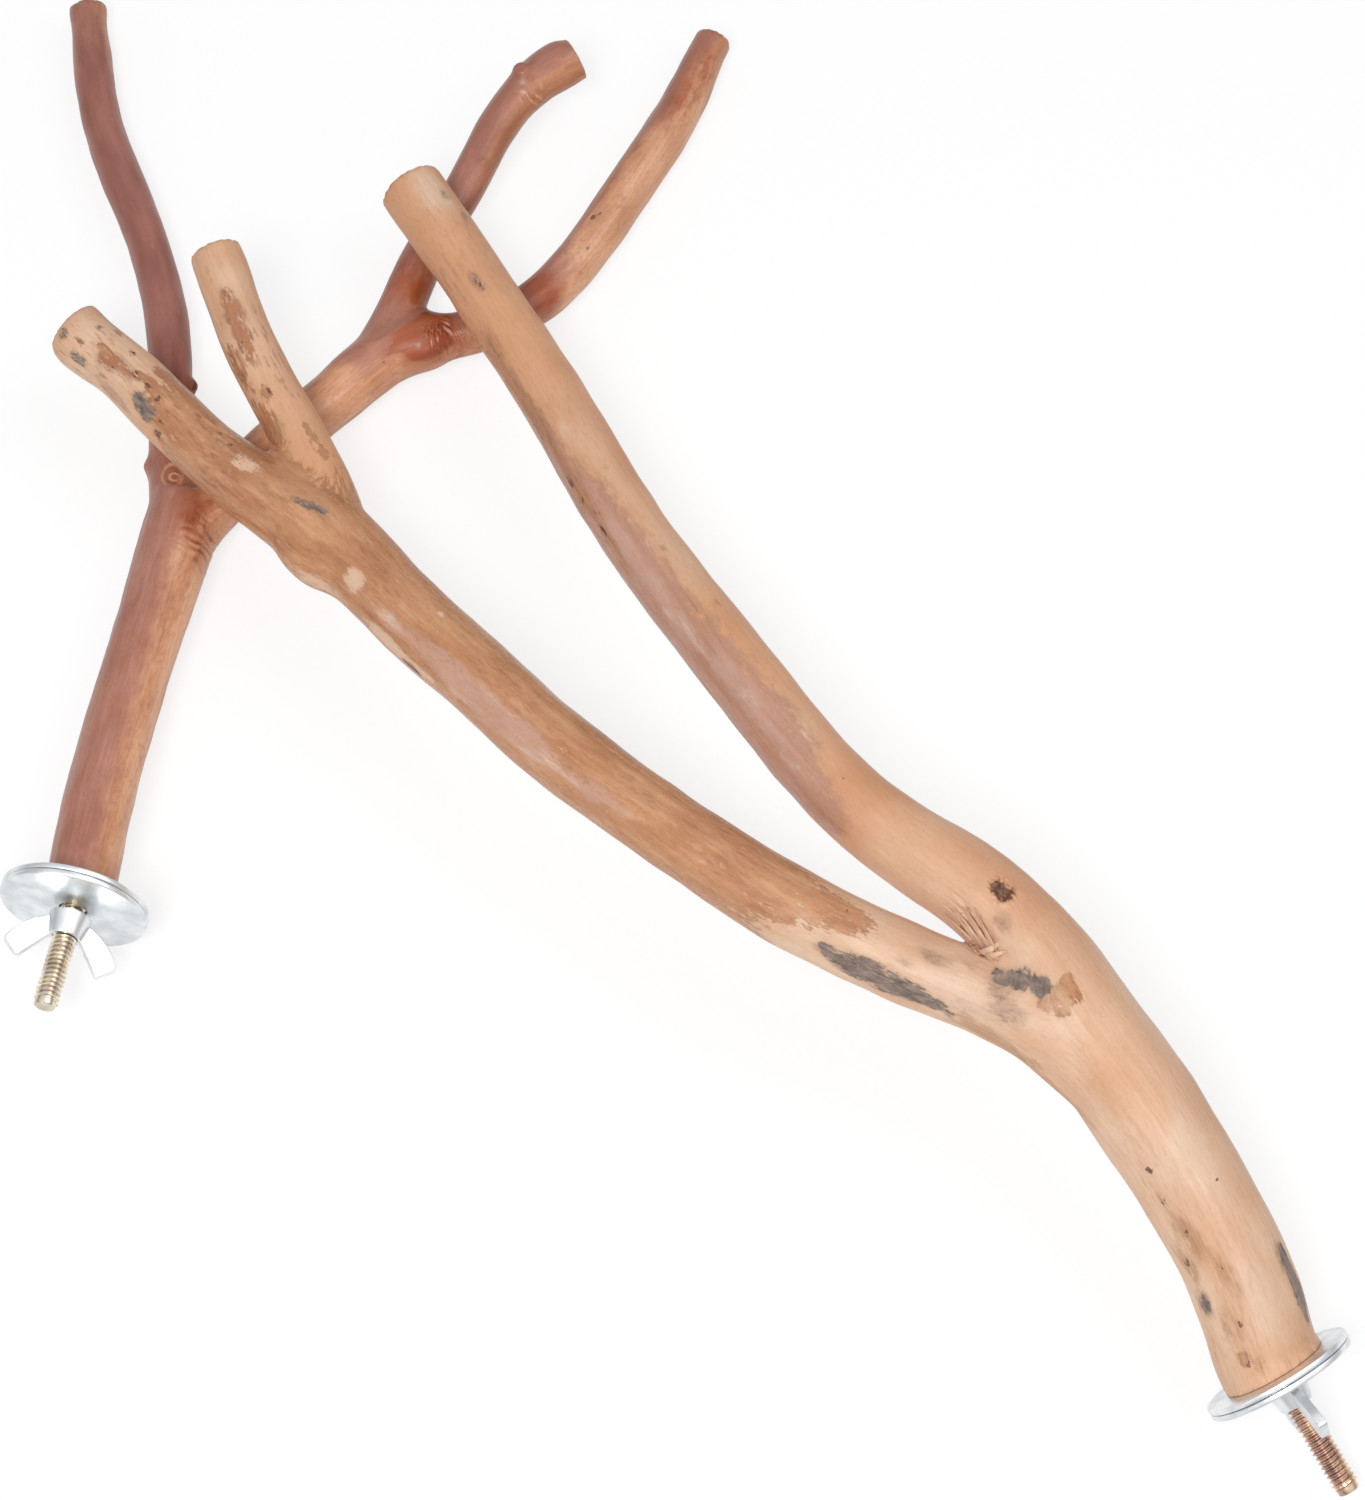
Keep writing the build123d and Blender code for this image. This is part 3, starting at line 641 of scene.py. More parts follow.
# Dark flecks, in flocks, most of them where bark was
fleck_room = add(tree, "Math", {0: bark_left, 1: 0.5, 2: mottle_at}, operation="MULTIPLY_ADD")
fleck_room = add(tree, "Math", {0: fleck_room, 1: 0.08}, operation="ADD", use_clamp=True)
flocks = add(tree, "MapRange", {0: patch, 1: 0.42, 2: 0.58, 3: 0.1, 4: 1})
fleck_room = add(tree, "Math", {0: fleck_room, 1: flocks}, operation="MULTIPLY")
fleck_share = add(tree, "Math", {0: flecked, 1: fleck_room}, operation="MULTIPLY")
wood = coat(tree, wood, "#875839", fleck_share, 0.65)
# The painted rosy sheen on the upper sides, then brown streaks with the prong's painted shadow line, smoky
# clouds and ochre crusts
painted_sheen_share = edge(tree, painted_sheen_at, torn, 0.2, 1.2)
wood = coat(tree, wood, coat(tree, "#CDA797", "#E6CDBF", worn_off), painted_sheen_share, 0.62)
# Brown streaks, two of them the prong's painted shadow line
brown_share = edge(tree, brown_at, frayed, 0.1, 1.3)
wood = coat(tree, wood, coat(tree, "#C09069", "#9A6945", fibrous), brown_share, 0.7)
smoke_share = edge(tree, smoke_at, frayed, 0.1, 1)
wood = coat(tree, wood, coat(tree, "#A8826B", "#6E4F3F", gritty), smoke_share, 0.7)
ochre_share = edge(tree, ochre_at, torn, 0.3, 0.75)
ochre_rim = edge(tree, ochre_at, torn, 0.95, 0.6)
ochre_thin = add(tree, "MapRange", {0: worn, 1: 0.36, 2: 0.56, 3: 0.98, 4: 0.5})
ochre_left = add(tree, "Math", {0: ochre_share, 1: ochre_thin}, operation="MULTIPLY")
ochre_colour = coats(tree, "#B97F54", [
    ("#8E5835", gritty), ("#7A4F33", flecked, 0.6), ("#8A5A3A", ochre_rim, 0.6),
])
wood = coat(tree, wood, ochre_colour, ochre_left)
# Grey weather stains in a brown halo
grey_halo = edge(tree, grey_at, frayed, 0.08, 0.6)
grey_share = edge(tree, grey_at, torn, 0.35, 0.7)
grey_rim = edge(tree, grey_at, torn, 1, 0.65)
grey_core = add(tree, "MapRange", {0: fleck, 1: 0.32, 2: 0.64})
grey_thin = add(tree, "MapRange", {0: grit, 1: 0.3, 2: 0.52, 3: 0.62, 4: 0.97})
grey_left = add(tree, "Math", {0: grey_share, 1: grey_thin}, operation="MULTIPLY")
grey_colour = coat(tree, "#AF9A8D", "#60514C", grey_core)
grey_colour = coat(tree, grey_colour, "#5E4F4A", fibrous, 0.3)
grey_deep = edge(tree, grey_at, torn, 0.8, 1.4)
grey_colour = coat(tree, grey_colour, "#463A36", grey_deep, 0.3)
grey_colour = coat(tree, grey_colour, "#503F37", grey_rim, 0.4)
wood = coat(tree, wood, "#A07F68", grey_halo, 0.45)
wood = coat(tree, wood, grey_colour, grey_left)
# Pin specks about 8 mm apart, and the few deep holes
specks = add(tree, "TexVoronoi", {"Vector": place, "Scale": 125})
speck_size = add(tree, "MapRange", {0: specks, 1: 0.06, 2: 0.03})
speck_pick = add(tree, "SeparateColor", {0: specks.node.outputs["Color"]})
speck_pick = add(tree, "Math", {0: speck_pick, 1: 0.72}, operation="GREATER_THAN")
speck_share = add(tree, "Math", {0: speck_size, 1: speck_pick}, operation="MULTIPLY")
wood = coat(tree, wood, "#7D563F", speck_share, 0.7)
hole_share = edge(tree, hole_at, torn, 0.4, 0.7)
wood = coat(tree, wood, coat(tree, "#6E4736", "#432A20", gritty), hole_share, 0.9)
cut_face = end_grain(tree, place, run, 0.0013, "#E2BD98", "#BC906B", "#8A6042")
wood = coat(tree, wood, cut_face, cut_at)
tree.links.new(wood, shader.inputs["Base Color"])
# Rubbed bark is glossier than bare wood
rough = add(tree, "MapRange", {0: streak, 1: 0.3, 2: 0.7, 3: 0.42, 4: 0.54})
satin = add(tree, "Math", {0: bark_left, 1: film_share}, operation="MAXIMUM")
shine = add(tree, "MapRange", {0: worn, 1: 0.38, 2: 0.6, 3: -0.25, 4: -0.1})
rough = add(tree, "Math", {0: satin, 1: shine, 2: rough}, operation="MULTIPLY_ADD")
tree.links.new(rough, shader.inputs["Roughness"])
relief = add(tree, "Math", {0: fibre, 1: 0.35, 2: streak}, operation="MULTIPLY_ADD")
for height, share in ((grit, 0.5), (bark_left, 0.7), (grey_share, -0.5), (hole_share, -1.5)):
    relief = add(tree, "Math", {0: height, 1: share, 2: relief}, operation="MULTIPLY_ADD")
raised = add(tree, "Bump", {"Height": relief, "Strength": 0.4, "Distance": 0.0004})
tree.links.new(raised, shader.inputs["Normal"])
light_branch.data.materials.append(pale_wood)
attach(light_branch, "light_perch")
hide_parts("light_branch")

# Dark branch: a slimmer forked limb with its thin inner bark left on and rubbed to a satin red-brown.
# It ends in three sawn twigs, carries small buds, an eye where a twig grew, and creases at the forks.
DARK_BUTT = seat_of("dark").translation
DARK_SKIN = 0.00075
DARK_LIMBS = [
    [(0, 0, 0, 8.8), (3, 24, -2, 9.1), (7.5, 52, -4, 8.9), (13.5, 81.5, -6, 9.3), (20.5, 119, -8, 9.5)],
    [(19, 104, -7.5, 8), (16, 128.5, -8.5, 6.5), (13, 167, -9.5, 5.9), (4.5, 202.5, -11, 5.8),
     (-11, 243.5, -12.5, 5.7), (-17.5, 282, -13.3, 5.5)],
    [(15, 96, -7.5, 7.2), (25.5, 114.5, -8, 8.2), (48, 140.5, -8.5, 7.7), (69.5, 162, -8.5, 8.5),
     (88.5, 170, -8, 6.8)],
    [(69, 162.5, -8.5, 6.3), (77, 181.5, -7.5, 6.5), (89, 209, -6, 5.5), (101.5, 235, -3, 5.6),
     (112.5, 249, -0.5, 6.4), (123.5, 255, 1, 5.6)],
    [(73.5, 166, -8.5, 6.2), (103, 175.5, -9, 6.6), (121, 191.5, -10.2, 6.5), (136.5, 217.5, -11.6, 6.6),
     (150.5, 243.5, -12.3, 6.4), (162, 271.5, -13.4, 5.4)],
]
DARK_TIPS = [
    ((-0.1634, 0.2155, 0.0055), (-0.17, 0.98, -0.02)),
    ((-0.0224, 0.1885, 0.0199), (0.86, 0.47, 0.12)),
    ((0.0161, 0.2050, 0.0055), (0.38, 0.92, -0.04)),
]
DARK_CUT_DEPTH = 0.0008
DARK_BUTT_DEPTH = 0.0007
EYE = (-128.6, 56.8, 17.5)
BUDS = [(-126, 88, 11), (-37.4, 181.6, 24), (-137, 62.5, 12)]
CREASES = [(-118, 36, 17, 7), (-56.7, 99.8, 16.6, 6), (-33, 174, 22, 4.5)]
DARK_FORKS = [
    (-126, 46, 12, 16), (-120, 62, 12, 9), (-73, 99, 11, 13), (-57, 104, 11, 12), (-66, 112, 12, 8),
    (-70, 104, 14, 12),
]
UPPER_FORK = [(-68, 102, 18, 12), (-62, 106, 15, 10), (-72, 108, 16, 9)]

dark_branch = even_skin("dark_branch", "dark_branch_wood", DARK_SKIN)
fine_places = [(*EYE, 7)] + [(*bud, 4) for bud in BUDS]
fine_places += [(x, y, z, reach + 2) for x, y, z, reach in CREASES]
refine(dark_branch, fine_places)
ease_forks(dark_branch, DARK_FORKS)
ease_forks(dark_branch, UPPER_FORK)
points = points_of(dark_branch)
normals = normals_of(dark_branch)
grain = grain_of(points, DARK_LIMBS, DARK_BUTT)
dent = 0.00022 * swell(points, 0.008, 5.3) + 0.0003 * swell(points, 0.026, 1.9)
eye_off = np.linalg.norm((points * 1000 - EYE) * (1.2, 0.85, 1), axis=1)
eye_off += 0.6 * swell(points, 0.0032, 3.3)
pupil_off = np.linalg.norm((points * 1000 - EYE - (0.7, -0.5, 0)) * (0.9, 1.2, 1), axis=1)
pupil_off += 0.6 * swell(points, 0.002, 1.1)
lid = np.clip(0.8 + 1.2 * swell(points, 0.005, 9.2), 0.5, 1)
eye_rings = lid * np.exp(-(((eye_off - 3.2) / 0.6) ** 2)) + np.exp(-(((pupil_off - 1.4) / 0.45) ** 2))
dent += 0.0007 * eye_rings
folds = np.zeros(len(points))
for x, y, z, reach in CREASES:
    off = np.linalg.norm(points * 1000 - (x, y, z), axis=1)
    fold = np.sin(2 * math.pi * (grain[:, 2] / 0.0028 + 0.9 * swell(points, 0.005, 7.7)))
    broken = np.clip(0.6 + 1.2 * swell(points, 0.0035, 2.9), 0, 1)
    folds += fold * broken * np.exp(-((off / reach) ** 2))
dent += 0.00042 * folds
bud_marks = [(*bud, 2.4, 2.2, 1) for bud in BUDS] + [(-37.4, 181.6, 24, 3, 3, 0.6)]
dent += 0.0013 * np.clip(spots(points, grain, bud_marks), 0, 1.5)
dent += 0.0005 * np.clip(spots(points, grain, [
    (-10, 143, 13.3, 1, 1, 1), (-2, 152, 13, 0.9, 0.9, 1), (9.5, 183.6, 12.4, 0.9, 0.9, 1),
    (-30.3, 115.7, 15.5, 1, 1, 1), (-132.7, 41.5, 20, 0.7, 0.7, 1), (-140, 0, 24, 0.6, 0.6, 1),
    (-10, 146.6, 13.9, 0.9, 0.9, 1), (-22.5, 119.9, 13, 0.8, 0.8, 1), (-24.2, 126.9, 15.1, 0.7, 0.7, 1),
    (-48, 154.9, 19.2, 0.9, 0.9, 1), (12.6, 193, 11.6, 0.9, 0.9, 1), (-1.2, 169.7, 13, 0.7, 0.7, 1),
    (-26.3, 114.5, 12.3, 0.8, 0.8, 1),
]), 0, 1)
dent -= (0.0004 + np.abs(dent)) * at_crossings(points)
cuts = [(at, way, DARK_CUT_DEPTH) for at, way in DARK_TIPS]
cuts.append((DARK_BUTT, seat_of("dark").col[2].xyz, DARK_BUTT_DEPTH))
points = carve(dark_branch, points, normals, dent, cuts, CUT_REACH)

# Worn lighter, most on the right-hand limbs and on the eye's rims; partly painted light: a lit strip down the
# stem's right side, and painted highlights along the right twig's upper side and on the folds' crests
worn_and_lit = spots(points, grain, [
    (-98, 74, 18, 26, 8, 0.8), (-88, 80, 17, 16, 7, 0.5), (-112, 58, 17, 12, 6, 0.5),
    (-74, 90, 15, 10, 5, 0.6), (-22, 118, 10, 10, 4, 1.1), (-13, 132, 11, 16, 5, 1.1),
    (0, 157, 10.5, 18, 5, 1.2), (9.5, 177, 10.5, 12, 4, 0.9), (-126, 20, 20, 30, 4, 0.35),
    (-130.5, -6, 20, 30, 4, 0.35), (-134, -34, 21, 24, 4, 0.35), (-119, 37, 15, 10, 4, 0.7),
    (-121, 20, 12, 30, 4, 0.7), (-126, -8, 13, 30, 4, 0.7), (-131, -40, 14, 24, 4, 0.7),
    (-98, 74, 3, 30, 8, 0.6), (-6, 150, 13.5, 9, 3, 0.5), (-27, 181, 23, 7, 3, 0.35),
    (-10, 140, 12, 9, 4, 0.6), (13.7, 190, 11, 9, 5, 0.6), (-8.5, 140, 13, 14, 4.5, 1.4),
    (-2, 153, 12.6, 14, 4.5, 1.1), (3, 164, 12, 12, 4, 0.7), (-17, 124, 10, 14, 4, 0.8),
    (-4, 148, 9, 16, 4, 0.9), (8, 171, 8, 12, 4, 0.6), (-20, 131, 14.5, 12, 3.6, 0.6),
    (-12, 147, 13.8, 14, 3.6, 0.7), (-2, 166, 12.6, 12, 3.4, 0.5), (-87, 76, 14, 22, 4, 0.6),
    (-124, 14, 15, 40, 3, 0.6), (-137, -52, 22, 14, 3, 0.7), (-10, 140.3, 12.4, 10, 5, 0.9),
    (13.7, 191.3, 11.1, 8, 4, 0.5),
])
# The eye's rims are worn lighter; the folds' crests get a painted highlight
worn_and_lit += 1.9 * eye_rings + 1.1 * np.clip(folds, 0, 1)
# Redder round the eye and in the forks; painted shade too, redder and darker in the fork hollows, under the
# forks, in the folds' hollows and where the light perch's arms lie across
ruddy_and_shade = 0.5 * np.exp(-(((eye_off - 2.4) / 0.5) ** 2)) + 0.5 * np.clip(-folds, 0, 1)
ruddy_and_shade += spots(points, grain, [
    (-61, 103, 18.5, 9, 6, 1.2), (-65, 98, 18.5, 8, 4.5, 1.4), (-32, 115, 15.5, 7, 6, 1.2),
    (-122, 44, 20, 10, 6, 0.6), (-70, 118, 14, 9, 6, 0.6), (14, 194, 11, 9, 5, 0.3),
    (-64, 115, 16, 12, 6, 0.5), (-127, 87, 13, 6, 4, 0.6), (-119, 34, 17, 6, 2, 0.5),
    (-60, 104, 3, 16, 7, 0.8), (-124, 44, 2, 14, 8, 0.8), (5, 176, 13, 12, 4, 0.5),
    (12, 190, 11.5, 14, 6, 0.35), (-65.2, 97.9, 18.7, 5, 3, 0.8),
])
# The long left twig and the middle one are duskier
dusky = spots(points, grain, [
    (-131, 100, 14, 40, 9, 0.95), (-137, 130, 13, 30, 9, 0.9), (-150, 165, 12, 40, 9, 0.85),
    (-160, 190, 12, 34, 9, 0.4), (-60, 132, 16, 24, 7, 0.5), (-50, 155, 18, 24, 7, 0.25),
    (-40, 176, 22, 14, 7, 0.2),
])
# The dark bud and the dark specks
dark = spots(points, grain, [
    (-126, 88, 11, 2.2, 1.8, 1), (-73.5, 91.8, 17.3, 0.6, 0.6, 0.9), (-17.7, 140.2, 14.1, 0.9, 0.5, 0.9),
    (-15.5, 141.4, 14.3, 0.7, 0.4, 0.9), (-16.6, 139.7, 14.3, 1.6, 1.2, 0.5), (-24, 178, 24, 0.6, 0.6, 0.9),
    (-63, 107.5, 16, 3, 2, 0.6), (-36, 112, 13, 3, 2, 0.7), (-18.5, 130, 15, 1.6, 0.9, 0.8),
])
store(dark_branch, "grain", "FLOAT_VECTOR", [*grain.T])
store(dark_branch, "stains", "FLOAT_COLOR", [worn_and_lit, ruddy_and_shade, dark, dusky])
# Painted light: the limbs' right side is painted orange as if lit from the right, and their upper side gets a
# painted rosy sheen
facing = normals_of(dark_branch)
painted_side_light = np.clip((facing @ (0.85, -0.5, 0.1) - 0.1) / 0.6, 0, 1)
painted_sheen = np.clip((facing @ (-0.4, 0.1, 0.9) - 0.5) / 0.4, 0, 1)
cut = sawn(dark_branch, DARK_TIPS)
store(dark_branch, "marks", "FLOAT_COLOR", [cut, painted_side_light, painted_sheen, np.zeros(len(points))])

# Inner bark rubbed to a satin: red-brown, streaked along the limb, lighter where it is worn, redder in the
# forks and duskier on the thin twigs, with tiny raised pores. Painted light on top: an orange lit right side,
# a rosy sheen on the upper side, highlights on the folds' crests, and shade in the forks, the folds and under
# the crossings.
red_wood, tree, shader = new_finish("polished_inner_bark")
place = add(tree, "TexCoord").node.outputs["Object"]
run = add(tree, "Attribute", attribute_name="grain").node.outputs["Vector"]
worn_and_lit_at, ruddy_and_shade_at, dark_at, dusky_at = layers_of(tree, "stains")
cut_at, painted_side_light_at, painted_sheen_at, _ = layers_of(tree, "marks")
streak = pattern(tree, run, 1.6, 50)
fibre = pattern(tree, run, 0.5, 14, detail=3)
grit = pattern(tree, run, 0.53, 1.6, roughness=0.65)
ragged = pattern(tree, run, 2.4, 5.3, detail=8, roughness=0.65)
blotch = pattern(tree, run, 5, 17)
cloud = pattern(tree, place, 25, 25, detail=3)
pores = add(tree, "TexVoronoi", {"Vector": place, "Scale": 110})
streaky, fibrous, gritty, blotchy, cloudy, pore = [
    add(tree, "MapRange", {0: drawn, 1: low, 2: high})
    for drawn, low, high in (
        (streak, 0.36, 0.66), (fibre, 0.38, 0.66), (grit, 0.48, 0.68),
        (blotch, 0.38, 0.64), (cloud, 0.36, 0.66), (pores, 0.09, 0.04),
    )
]
torn = add(tree, "Math", {0: ragged, 1: 3, 2: -0.5}, operation="MULTIPLY_ADD")
painted_side_light_share = edge(tree, painted_side_light_at, torn, 0.1, 1.1)
painted_sheen_share = edge(tree, painted_sheen_at, torn, 0.4, 1.3)
worn_and_lit_share = edge(tree, worn_and_lit_at, torn, 0, 1.3)
ruddy_and_shade_share = edge(tree, ruddy_and_shade_at, torn, 0.1, 1.2)
dark_share = edge(tree, dark_at, torn, 0.3, 0.8)
dusky_share = edge(tree, dusky_at, torn, 0.1, 1.1)
bark = coat(tree, "#C08570", "#A56853", blotchy)
bark = coat(tree, bark, "#935645", streaky, 0.5)
bark = coat(tree, bark, "#B6785C", cloudy, 0.4)
# Painted light: the lit right side in orange, then a faint painted rosy sheen on the upper side
bark = coat(tree, bark, coat(tree, "#DD9E6A", "#C27E4E", blotchy), painted_side_light_share, 0.55)
bark = coat(tree, bark, "#C0938A", painted_sheen_share, 0.18)
bark = coat(tree, bark, coat(tree, "#A66A5E", "#8F564A", blotchy), dusky_share)
# Lighter where worn, partly painted light and highlights
bark = coat(tree, bark, coat(tree, "#E8B08A", "#D29670", blotchy), worn_and_lit_share)
# Redder, partly painted shade in the forks, the folds and under the crossings
bark = coat(tree, bark, coat(tree, "#B05D34", "#954325", blotchy), ruddy_and_shade_share)
bark = coat(tree, bark, "#935A48", fibrous, 0.22)
bark = coat(tree, bark, "#85503F", gritty, 0.3)
bark = coat(tree, bark, "#653527", dark_share, 0.85)
cut_face = end_grain(tree, place, run, 0.001, "#D6AA88", "#AE7C5E", "#7A4C36")
bark = coat(tree, bark, cut_face, cut_at)
tree.links.new(bark, shader.inputs["Base Color"])
rough = add(tree, "MapRange", {0: streak, 1: 0.3, 2: 0.7, 3: 0.3, 4: 0.44})
tree.links.new(rough, shader.inputs["Roughness"])
shader.inputs["Specular IOR Level"].default_value = 0.55
relief = add(tree, "Math", {0: fibre, 1: 0.3, 2: streak}, operation="MULTIPLY_ADD")
for height, share in ((grit, 0.5), (pore, 0.8)):
    relief = add(tree, "Math", {0: height, 1: share, 2: relief}, operation="MULTIPLY_ADD")
raised = add(tree, "Bump", {"Height": relief, "Strength": 0.3, "Distance": 0.0003})
tree.links.new(raised, shader.inputs["Normal"])
dark_branch.data.materials.append(red_wood)
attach(dark_branch, "dark_perch")
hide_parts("dark_branch")

# Hanger bolts: a quarter-inch machine-threaded stud with a short plain nose, and a pointed wood-screw
# shank that is driven into the sawn butt. Rolled steel with a yellow chromate over zinc.
STUD_R = 0.003175
PITCH = 0.00127
CREST_W = PITCH / 8
ROOT_W = PITCH / 4
FLANK_W = (PITCH - CREST_W - ROOT_W) / 2
THREAD_DEPTH = FLANK_W / math.tan(math.radians(30))
NOSE_R = 0.0027
NOSE_L = 0.0016
SHANK_R = 0.003
SHANK_L = 0.025
SHANK_POINT_L = 0.006
SHANK_TIP_R = 0.0003
NOSE_ROLL = 0.0004
LIGHT_STUD_OUT = 0.034
DARK_STUD_OUT = 0.0308


def apply_all(piece):
    """Applies a piece's modifiers in their order."""
    bpy.context.view_layer.objects.active = piece
    for modifier in list(piece.modifiers):
        bpy.ops.object.modifier_apply(modifier=modifier.name)


def hanger_bolt(perch, stud_out):
    """One perch's bolt: the thread's profile wound up the stud, a plain nose, and the shank in the wood."""
    bpy.ops.object.select_all(action="DESELECT")
    bpy.ops.mesh.primitive_plane_add(size=0.001)
    bolt = bpy.context.object
    bolt.name = perch + "_stud"
    bpy.ops.object.mode_set(mode="EDIT")
    bpy.ops.mesh.select_all(action="SELECT")
    bpy.ops.mesh.merge(type="CENTER")
    bpy.ops.transform.translate(value=(STUD_R, 0, -2 * PITCH))
    for step in ((0, 0, CREST_W), (-THREAD_DEPTH, 0, FLANK_W), (0, 0, ROOT_W), (THREAD_DEPTH, 0, FLANK_W)):
        bpy.ops.mesh.extrude_vertices_move(TRANSFORM_OT_translate={"value": step})
    bpy.ops.object.mode_set(mode="OBJECT")
    turn = bolt.modifiers.new("turn", "SCREW")
    turn.axis = "Z"
    turn.screw_offset = PITCH
    turn.iterations = math.ceil(stud_out / PITCH) + 3
    turn.steps = turn.render_steps = 48
    turn.use_merge_vertices = True
    turn.merge_threshold = 1e-6
    apply_all(bolt)
    bpy.ops.object.mode_set(mode="EDIT")
    for height, below in ((0, True), (stud_out - NOSE_L, False)):
        bpy.ops.mesh.select_all(action="SELECT")
        bpy.ops.mesh.bisect(plane_co=(0, 0, height), plane_no=(0, 0, 1), use_fill=True,
                            clear_inner=below, clear_outer=not below)
    bpy.ops.mesh.select_all(action="SELECT")
    bpy.ops.mesh.remove_doubles(threshold=1e-6)
    bpy.ops.mesh.normals_make_consistent(inside=False)
    bpy.ops.object.mode_set(mode="OBJECT")
    bpy.ops.mesh.primitive_cylinder_add(vertices=48, radius=NOSE_R, depth=NOSE_L + PITCH,
                                        location=(0, 0, stud_out - (NOSE_L + PITCH) / 2))
    nose = bpy.context.object
    soften = nose.modifiers.new("soften", "BEVEL")
    soften.width = NOSE_ROLL
    soften.segments = 3
    apply_all(nose)
    bpy.ops.mesh.primitive_cone_add(vertices=48, radius1=SHANK_TIP_R, radius2=SHANK_R, depth=SHANK_POINT_L,
                                    location=(0, 0, SHANK_POINT_L / 2 - SHANK_L))
    shank = bpy.context.object
    bpy.ops.object.mode_set(mode="EDIT")
    bpy.ops.mesh.select_all(action="DESELECT")
    bpy.ops.object.mode_set(mode="OBJECT")
    for face in shank.data.polygons:
        face.select = face.normal.z > 0.9
    bpy.ops.object.mode_set(mode="EDIT")
    bpy.ops.mesh.extrude_region_move(TRANSFORM_OT_translate={"value": (0, 0, SHANK_L - SHANK_POINT_L)})
    bpy.ops.object.mode_set(mode="OBJECT")
    pick(nose, shank, bolt)
    bpy.ops.object.join()
    bpy.ops.object.shade_smooth_by_angle(angle=math.radians(25))
    spread = np.linalg.norm(points_of(bolt)[:, :2], axis=1)
    # Painted shade: 1 at the thread's root and 0 at its crest, darkening the colour in the grooves
    painted_thread_shade = np.clip((STUD_R - spread) / THREAD_DEPTH, 0, 1)
    store(bolt, "painted_thread_shade", "FLOAT_VECTOR", [painted_thread_shade, painted_thread_shade, painted_thread_shade])
    settle(bolt, seat_of(perch))
    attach(bolt, perch + "_perch")
    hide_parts(perch + "_hanger_bolt")
    return bolt


# Yellow chromate on zinc: a thin clear film that shifts from gold to rose and green, browner where
# it is thick, with painted shade darkening the thread's roots; the plating is smooth, so it shines.
def yellow_chromate(name, gold, brown, tint):
    finish, tree, shader = new_finish(name)
    place = add(tree, "TexCoord").node.outputs["Object"]
    patch = pattern(tree, place, 4, 4, detail=4)
    shift = pattern(tree, place, 2, 2, detail=2)
    patchy = add(tree, "MapRange", {0: patch, 1: 0.4, 2: 0.62})
    shifted = add(tree, "MapRange", {0: shift, 1: 0.5, 2: 0.7})
    painted_thread_shade = add(tree, "Attribute", attribute_name="painted_thread_shade").node.outputs["Fac"]
    film = coats(tree, gold, [(brown, patchy), (tint, shifted), ("#6A5848", painted_thread_shade, 0.3)])
    tree.links.new(film, shader.inputs["Base Color"])
    shader.inputs["Metallic"].default_value = 1
    dull = add(tree, "MapRange", {0: patch, 1: 0.3, 2: 0.7, 3: 0.18, 4: 0.3})
    tree.links.new(dull, shader.inputs["Roughness"])
    return finish


light_bolt = hanger_bolt("light", LIGHT_STUD_OUT)
bronze = yellow_chromate("yellow_zinc_bronze", "#F6DABC", "#B4928A", "#E4BCB4")
light_bolt.data.materials.append(bronze)
dark_bolt = hanger_bolt("dark", DARK_STUD_OUT)
gold = yellow_chromate("yellow_zinc_gold", "#F8EED8", "#CABCA8", "#E8DAD4")
dark_bolt.data.materials.append(gold)

# Washers: two wide steel discs on each stud, punched from sheet, with every rim rounded alike by a small
# bevel; bright zinc plate. The cage bars go between them.
WASHER_R = 0.01905
WASHER_ROLL = 0.0004
HOLE_R = STUD_R + 0.0004


def washer(perch, name, low):
    """One washer of a perch, this far out from the butt."""
    bpy.ops.object.select_all(action="DESELECT")
    bpy.ops.mesh.primitive_circle_add(vertices=160, radius=HOLE_R)
    disc = bpy.context.object
    disc.name = perch + "_" + name + "_plate"
    bpy.ops.object.mode_set(mode="EDIT")
    bpy.ops.mesh.select_all(action="SELECT")
    bpy.ops.mesh.extrude_edges_move()
    bpy.ops.transform.resize(value=(WASHER_R / HOLE_R, WASHER_R / HOLE_R, 1))
    bpy.ops.mesh.select_all(action="SELECT")
    bpy.ops.mesh.extrude_region_move(TRANSFORM_OT_translate={"value": (0, 0, WASHER_T)})
    bpy.ops.mesh.select_all(action="SELECT")
    bpy.ops.mesh.normals_make_consistent(inside=False)
    bpy.ops.object.mode_set(mode="OBJECT")
    roll = disc.modifiers.new("roll", "BEVEL")
    roll.width = WASHER_ROLL
    roll.segments = 4
    roll.limit_method = "ANGLE"
    apply_all(disc)
    bpy.ops.object.shade_smooth_by_angle(angle=math.radians(40))
    settle(disc, seat_of(perch) @ Matrix.Translation((0, 0, low)))
    disc.data.materials.append(bright_zinc)
    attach(disc, perch + "_" + name)
    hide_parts(perch + "_" + name)


# Bright zinc plate, cold rolled under it: silver with a faint blue cast, soft clouds in the shine
# about 5 mm across, and hair scratches drawn 0.4 mm apart so that they show.
bright_zinc, tree, shader = new_finish("bright_zinc_plate")
place = add(tree, "TexCoord").node.outputs["Object"]
haze = pattern(tree, place, 5, 5, detail=4)
hair_run = add(tree, "Mapping", {"Vector": place, "Scale": (2500, 120, 2500)})
hair = add(tree, "TexNoise", {"Vector": hair_run, "Scale": 1, "Detail": 2})
hazy = add(tree, "MapRange", {0: haze, 1: 0.35, 2: 0.65})
tree.links.new(coat(tree, "#EDF0F2", "#D5D9DC", hazy), shader.inputs["Base Color"])
shader.inputs["Metallic"].default_value = 1
dull = add(tree, "MapRange", {0: haze, 1: 0.3, 2: 0.7, 3: 0.28, 4: 0.42})
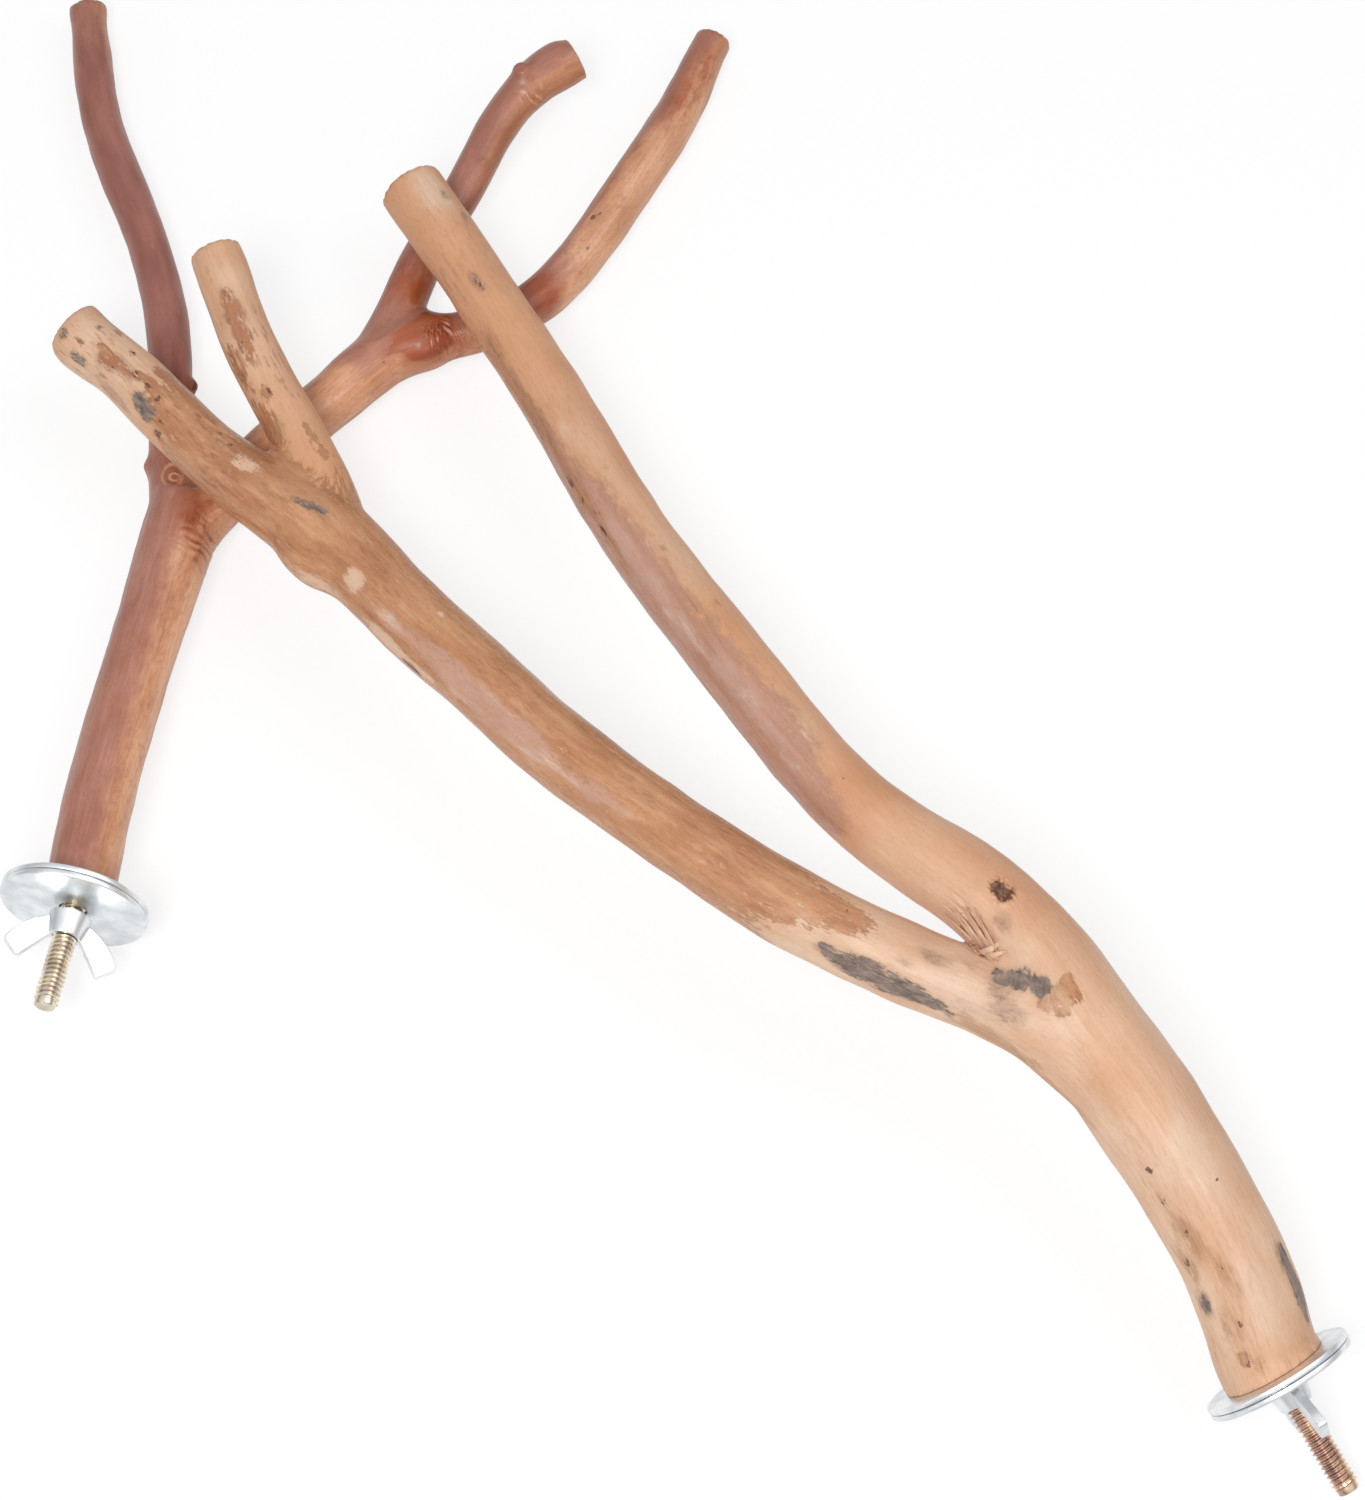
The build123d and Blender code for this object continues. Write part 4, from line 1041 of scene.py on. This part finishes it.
tree.links.new(dull, shader.inputs["Roughness"])
raised = add(tree, "Bump", {"Height": hair, "Strength": 0.08, "Distance": 0.0001})
tree.links.new(raised, shader.inputs["Normal"])
for perch in ("light", "dark"):
    washer(perch, "inner_washer", WASHER_GAP)
    washer(perch, "outer_washer", 2 * WASHER_GAP + WASHER_T)

# Wing nuts: a tapered hub with two swept wings, cast in one and zinc plated like the washers, so
# every edge is soft and the wings run into the hub.
NUT_SKIN = 0.0002
for perch in ("light", "dark"):
    nut = even_skin(perch + "_wing_nut", perch + "_nut", NUT_SKIN)
    nut.data.materials.append(bright_zinc)
    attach(nut, perch + "_wing_nut")
    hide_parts(perch + "_wing_nut")

# Floor, lamps and camera: a wide white table under three soft lamps and a pale sky, seen from in front
# and well above. The table glows a little to the camera, so that it is white but keeps the shadow.
FLOOR_SIZE = 60
FLOOR_DROP = 0.0002
bpy.ops.mesh.primitive_plane_add(size=FLOOR_SIZE, location=(0, 0, -FLOOR_DROP))
floor = bpy.context.object
floor.name = "table"
table_top, tree, shader = new_finish("white_table")
shader.inputs["Base Color"].default_value = linear("#F4F4F4")
shader.inputs["Roughness"].default_value = 0.9
seen = add(tree, "LightPath").node.outputs
glow = add(tree, "Emission", {"Color": (1, 1, 1, 1), "Strength": 1.07})
either = add(tree, "Math", {0: seen["Is Camera Ray"], 1: seen["Is Glossy Ray"]}, operation="MAXIMUM")
any_ray = add(tree, "Math", {0: either, 1: seen["Is Transmission Ray"]}, operation="MAXIMUM")
share = add(tree, "Math", {0: any_ray, 1: 0.72}, operation="MULTIPLY")
both = add(tree, "MixShader", {0: share, 1: shader.outputs[0], 2: glow})
tree.links.new(both, tree.nodes["Material Output"].inputs["Surface"])
floor.data.materials.append(table_top)

world = bpy.data.worlds.new("studio")
bpy.context.scene.world = world
world.use_nodes = True
tree = world.node_tree
sky = tree.nodes["Background"]
seen = add(tree, "LightPath").node.outputs
sky.inputs["Color"].default_value = (1, 1, 1, 1)
sky.inputs["Strength"].default_value = 0.3
# What metal mirrors: grey round the horizon, white overhead
way = add(tree, "TexCoord").node.outputs["Generated"]
up = add(tree, "SeparateXYZ", {0: way}).node.outputs["Z"]
rising = add(tree, "MapRange", {0: up, 1: 0.0, 2: 0.75, 3: 0.3, 4: 1.0})
mirrored = add(tree, "Background", {"Color": (1, 1, 1, 1), "Strength": rising})
white = add(tree, "Background", {"Color": (1, 1, 1, 1), "Strength": 1})
lit = add(tree, "MixShader", {0: seen["Is Glossy Ray"], 1: sky.outputs[0], 2: mirrored})
either = add(tree, "Math", {0: seen["Is Camera Ray"], 1: seen["Is Transmission Ray"]}, operation="MAXIMUM")
both = add(tree, "MixShader", {0: either, 1: lit, 2: white})
tree.links.new(both, tree.nodes["World Output"].inputs["Surface"])


def softbox(name, at, aim, size, watts):
    """A square area lamp that points at a place."""
    lamp = bpy.data.lights.new(name, "AREA")
    lamp.size = size
    lamp.energy = watts
    holder = bpy.data.objects.new(name, lamp)
    bpy.context.scene.collection.objects.link(holder)
    holder.location = at
    holder.rotation_euler = (Vector(aim) - Vector(at)).to_track_quat("-Z", "Y").to_euler()


softbox("key", (-0.22, -0.68, 1.30), (0, 0, 0), 0.5, 12.5)
softbox("top", (0.9, 0.3, 1.5), (0, 0, 0), 1.2, 7)
softbox("sheen", (-0.73, -0.92, 0.32), (0, 0, 0), 0.2, 0.7)

VIEW_RISE = math.radians(65)
VIEW_AT = Vector((0.00734, -0.02533, 0.020))
VIEW_BACK = Vector((0, -math.cos(VIEW_RISE), math.sin(VIEW_RISE)))
VIEW_AWAY = 0.9766
FRAME_HEIGHT = 1500
FOCAL_LENGTH = 3800  # in pixels of the 1365 x 1500 frame
lens = bpy.data.cameras.new("camera")
lens.sensor_width = 36
lens.lens = lens.sensor_width * FOCAL_LENGTH / FRAME_HEIGHT
lens.clip_start = 0.01
lens.clip_end = 50
camera = bpy.data.objects.new("camera", lens)
bpy.context.scene.collection.objects.link(camera)
camera.location = VIEW_AT + VIEW_BACK * VIEW_AWAY
camera.rotation_euler = (-VIEW_BACK).to_track_quat("-Z", "Y").to_euler()
bpy.context.scene.camera = camera
bpy.context.scene.view_settings.view_transform = "Standard"
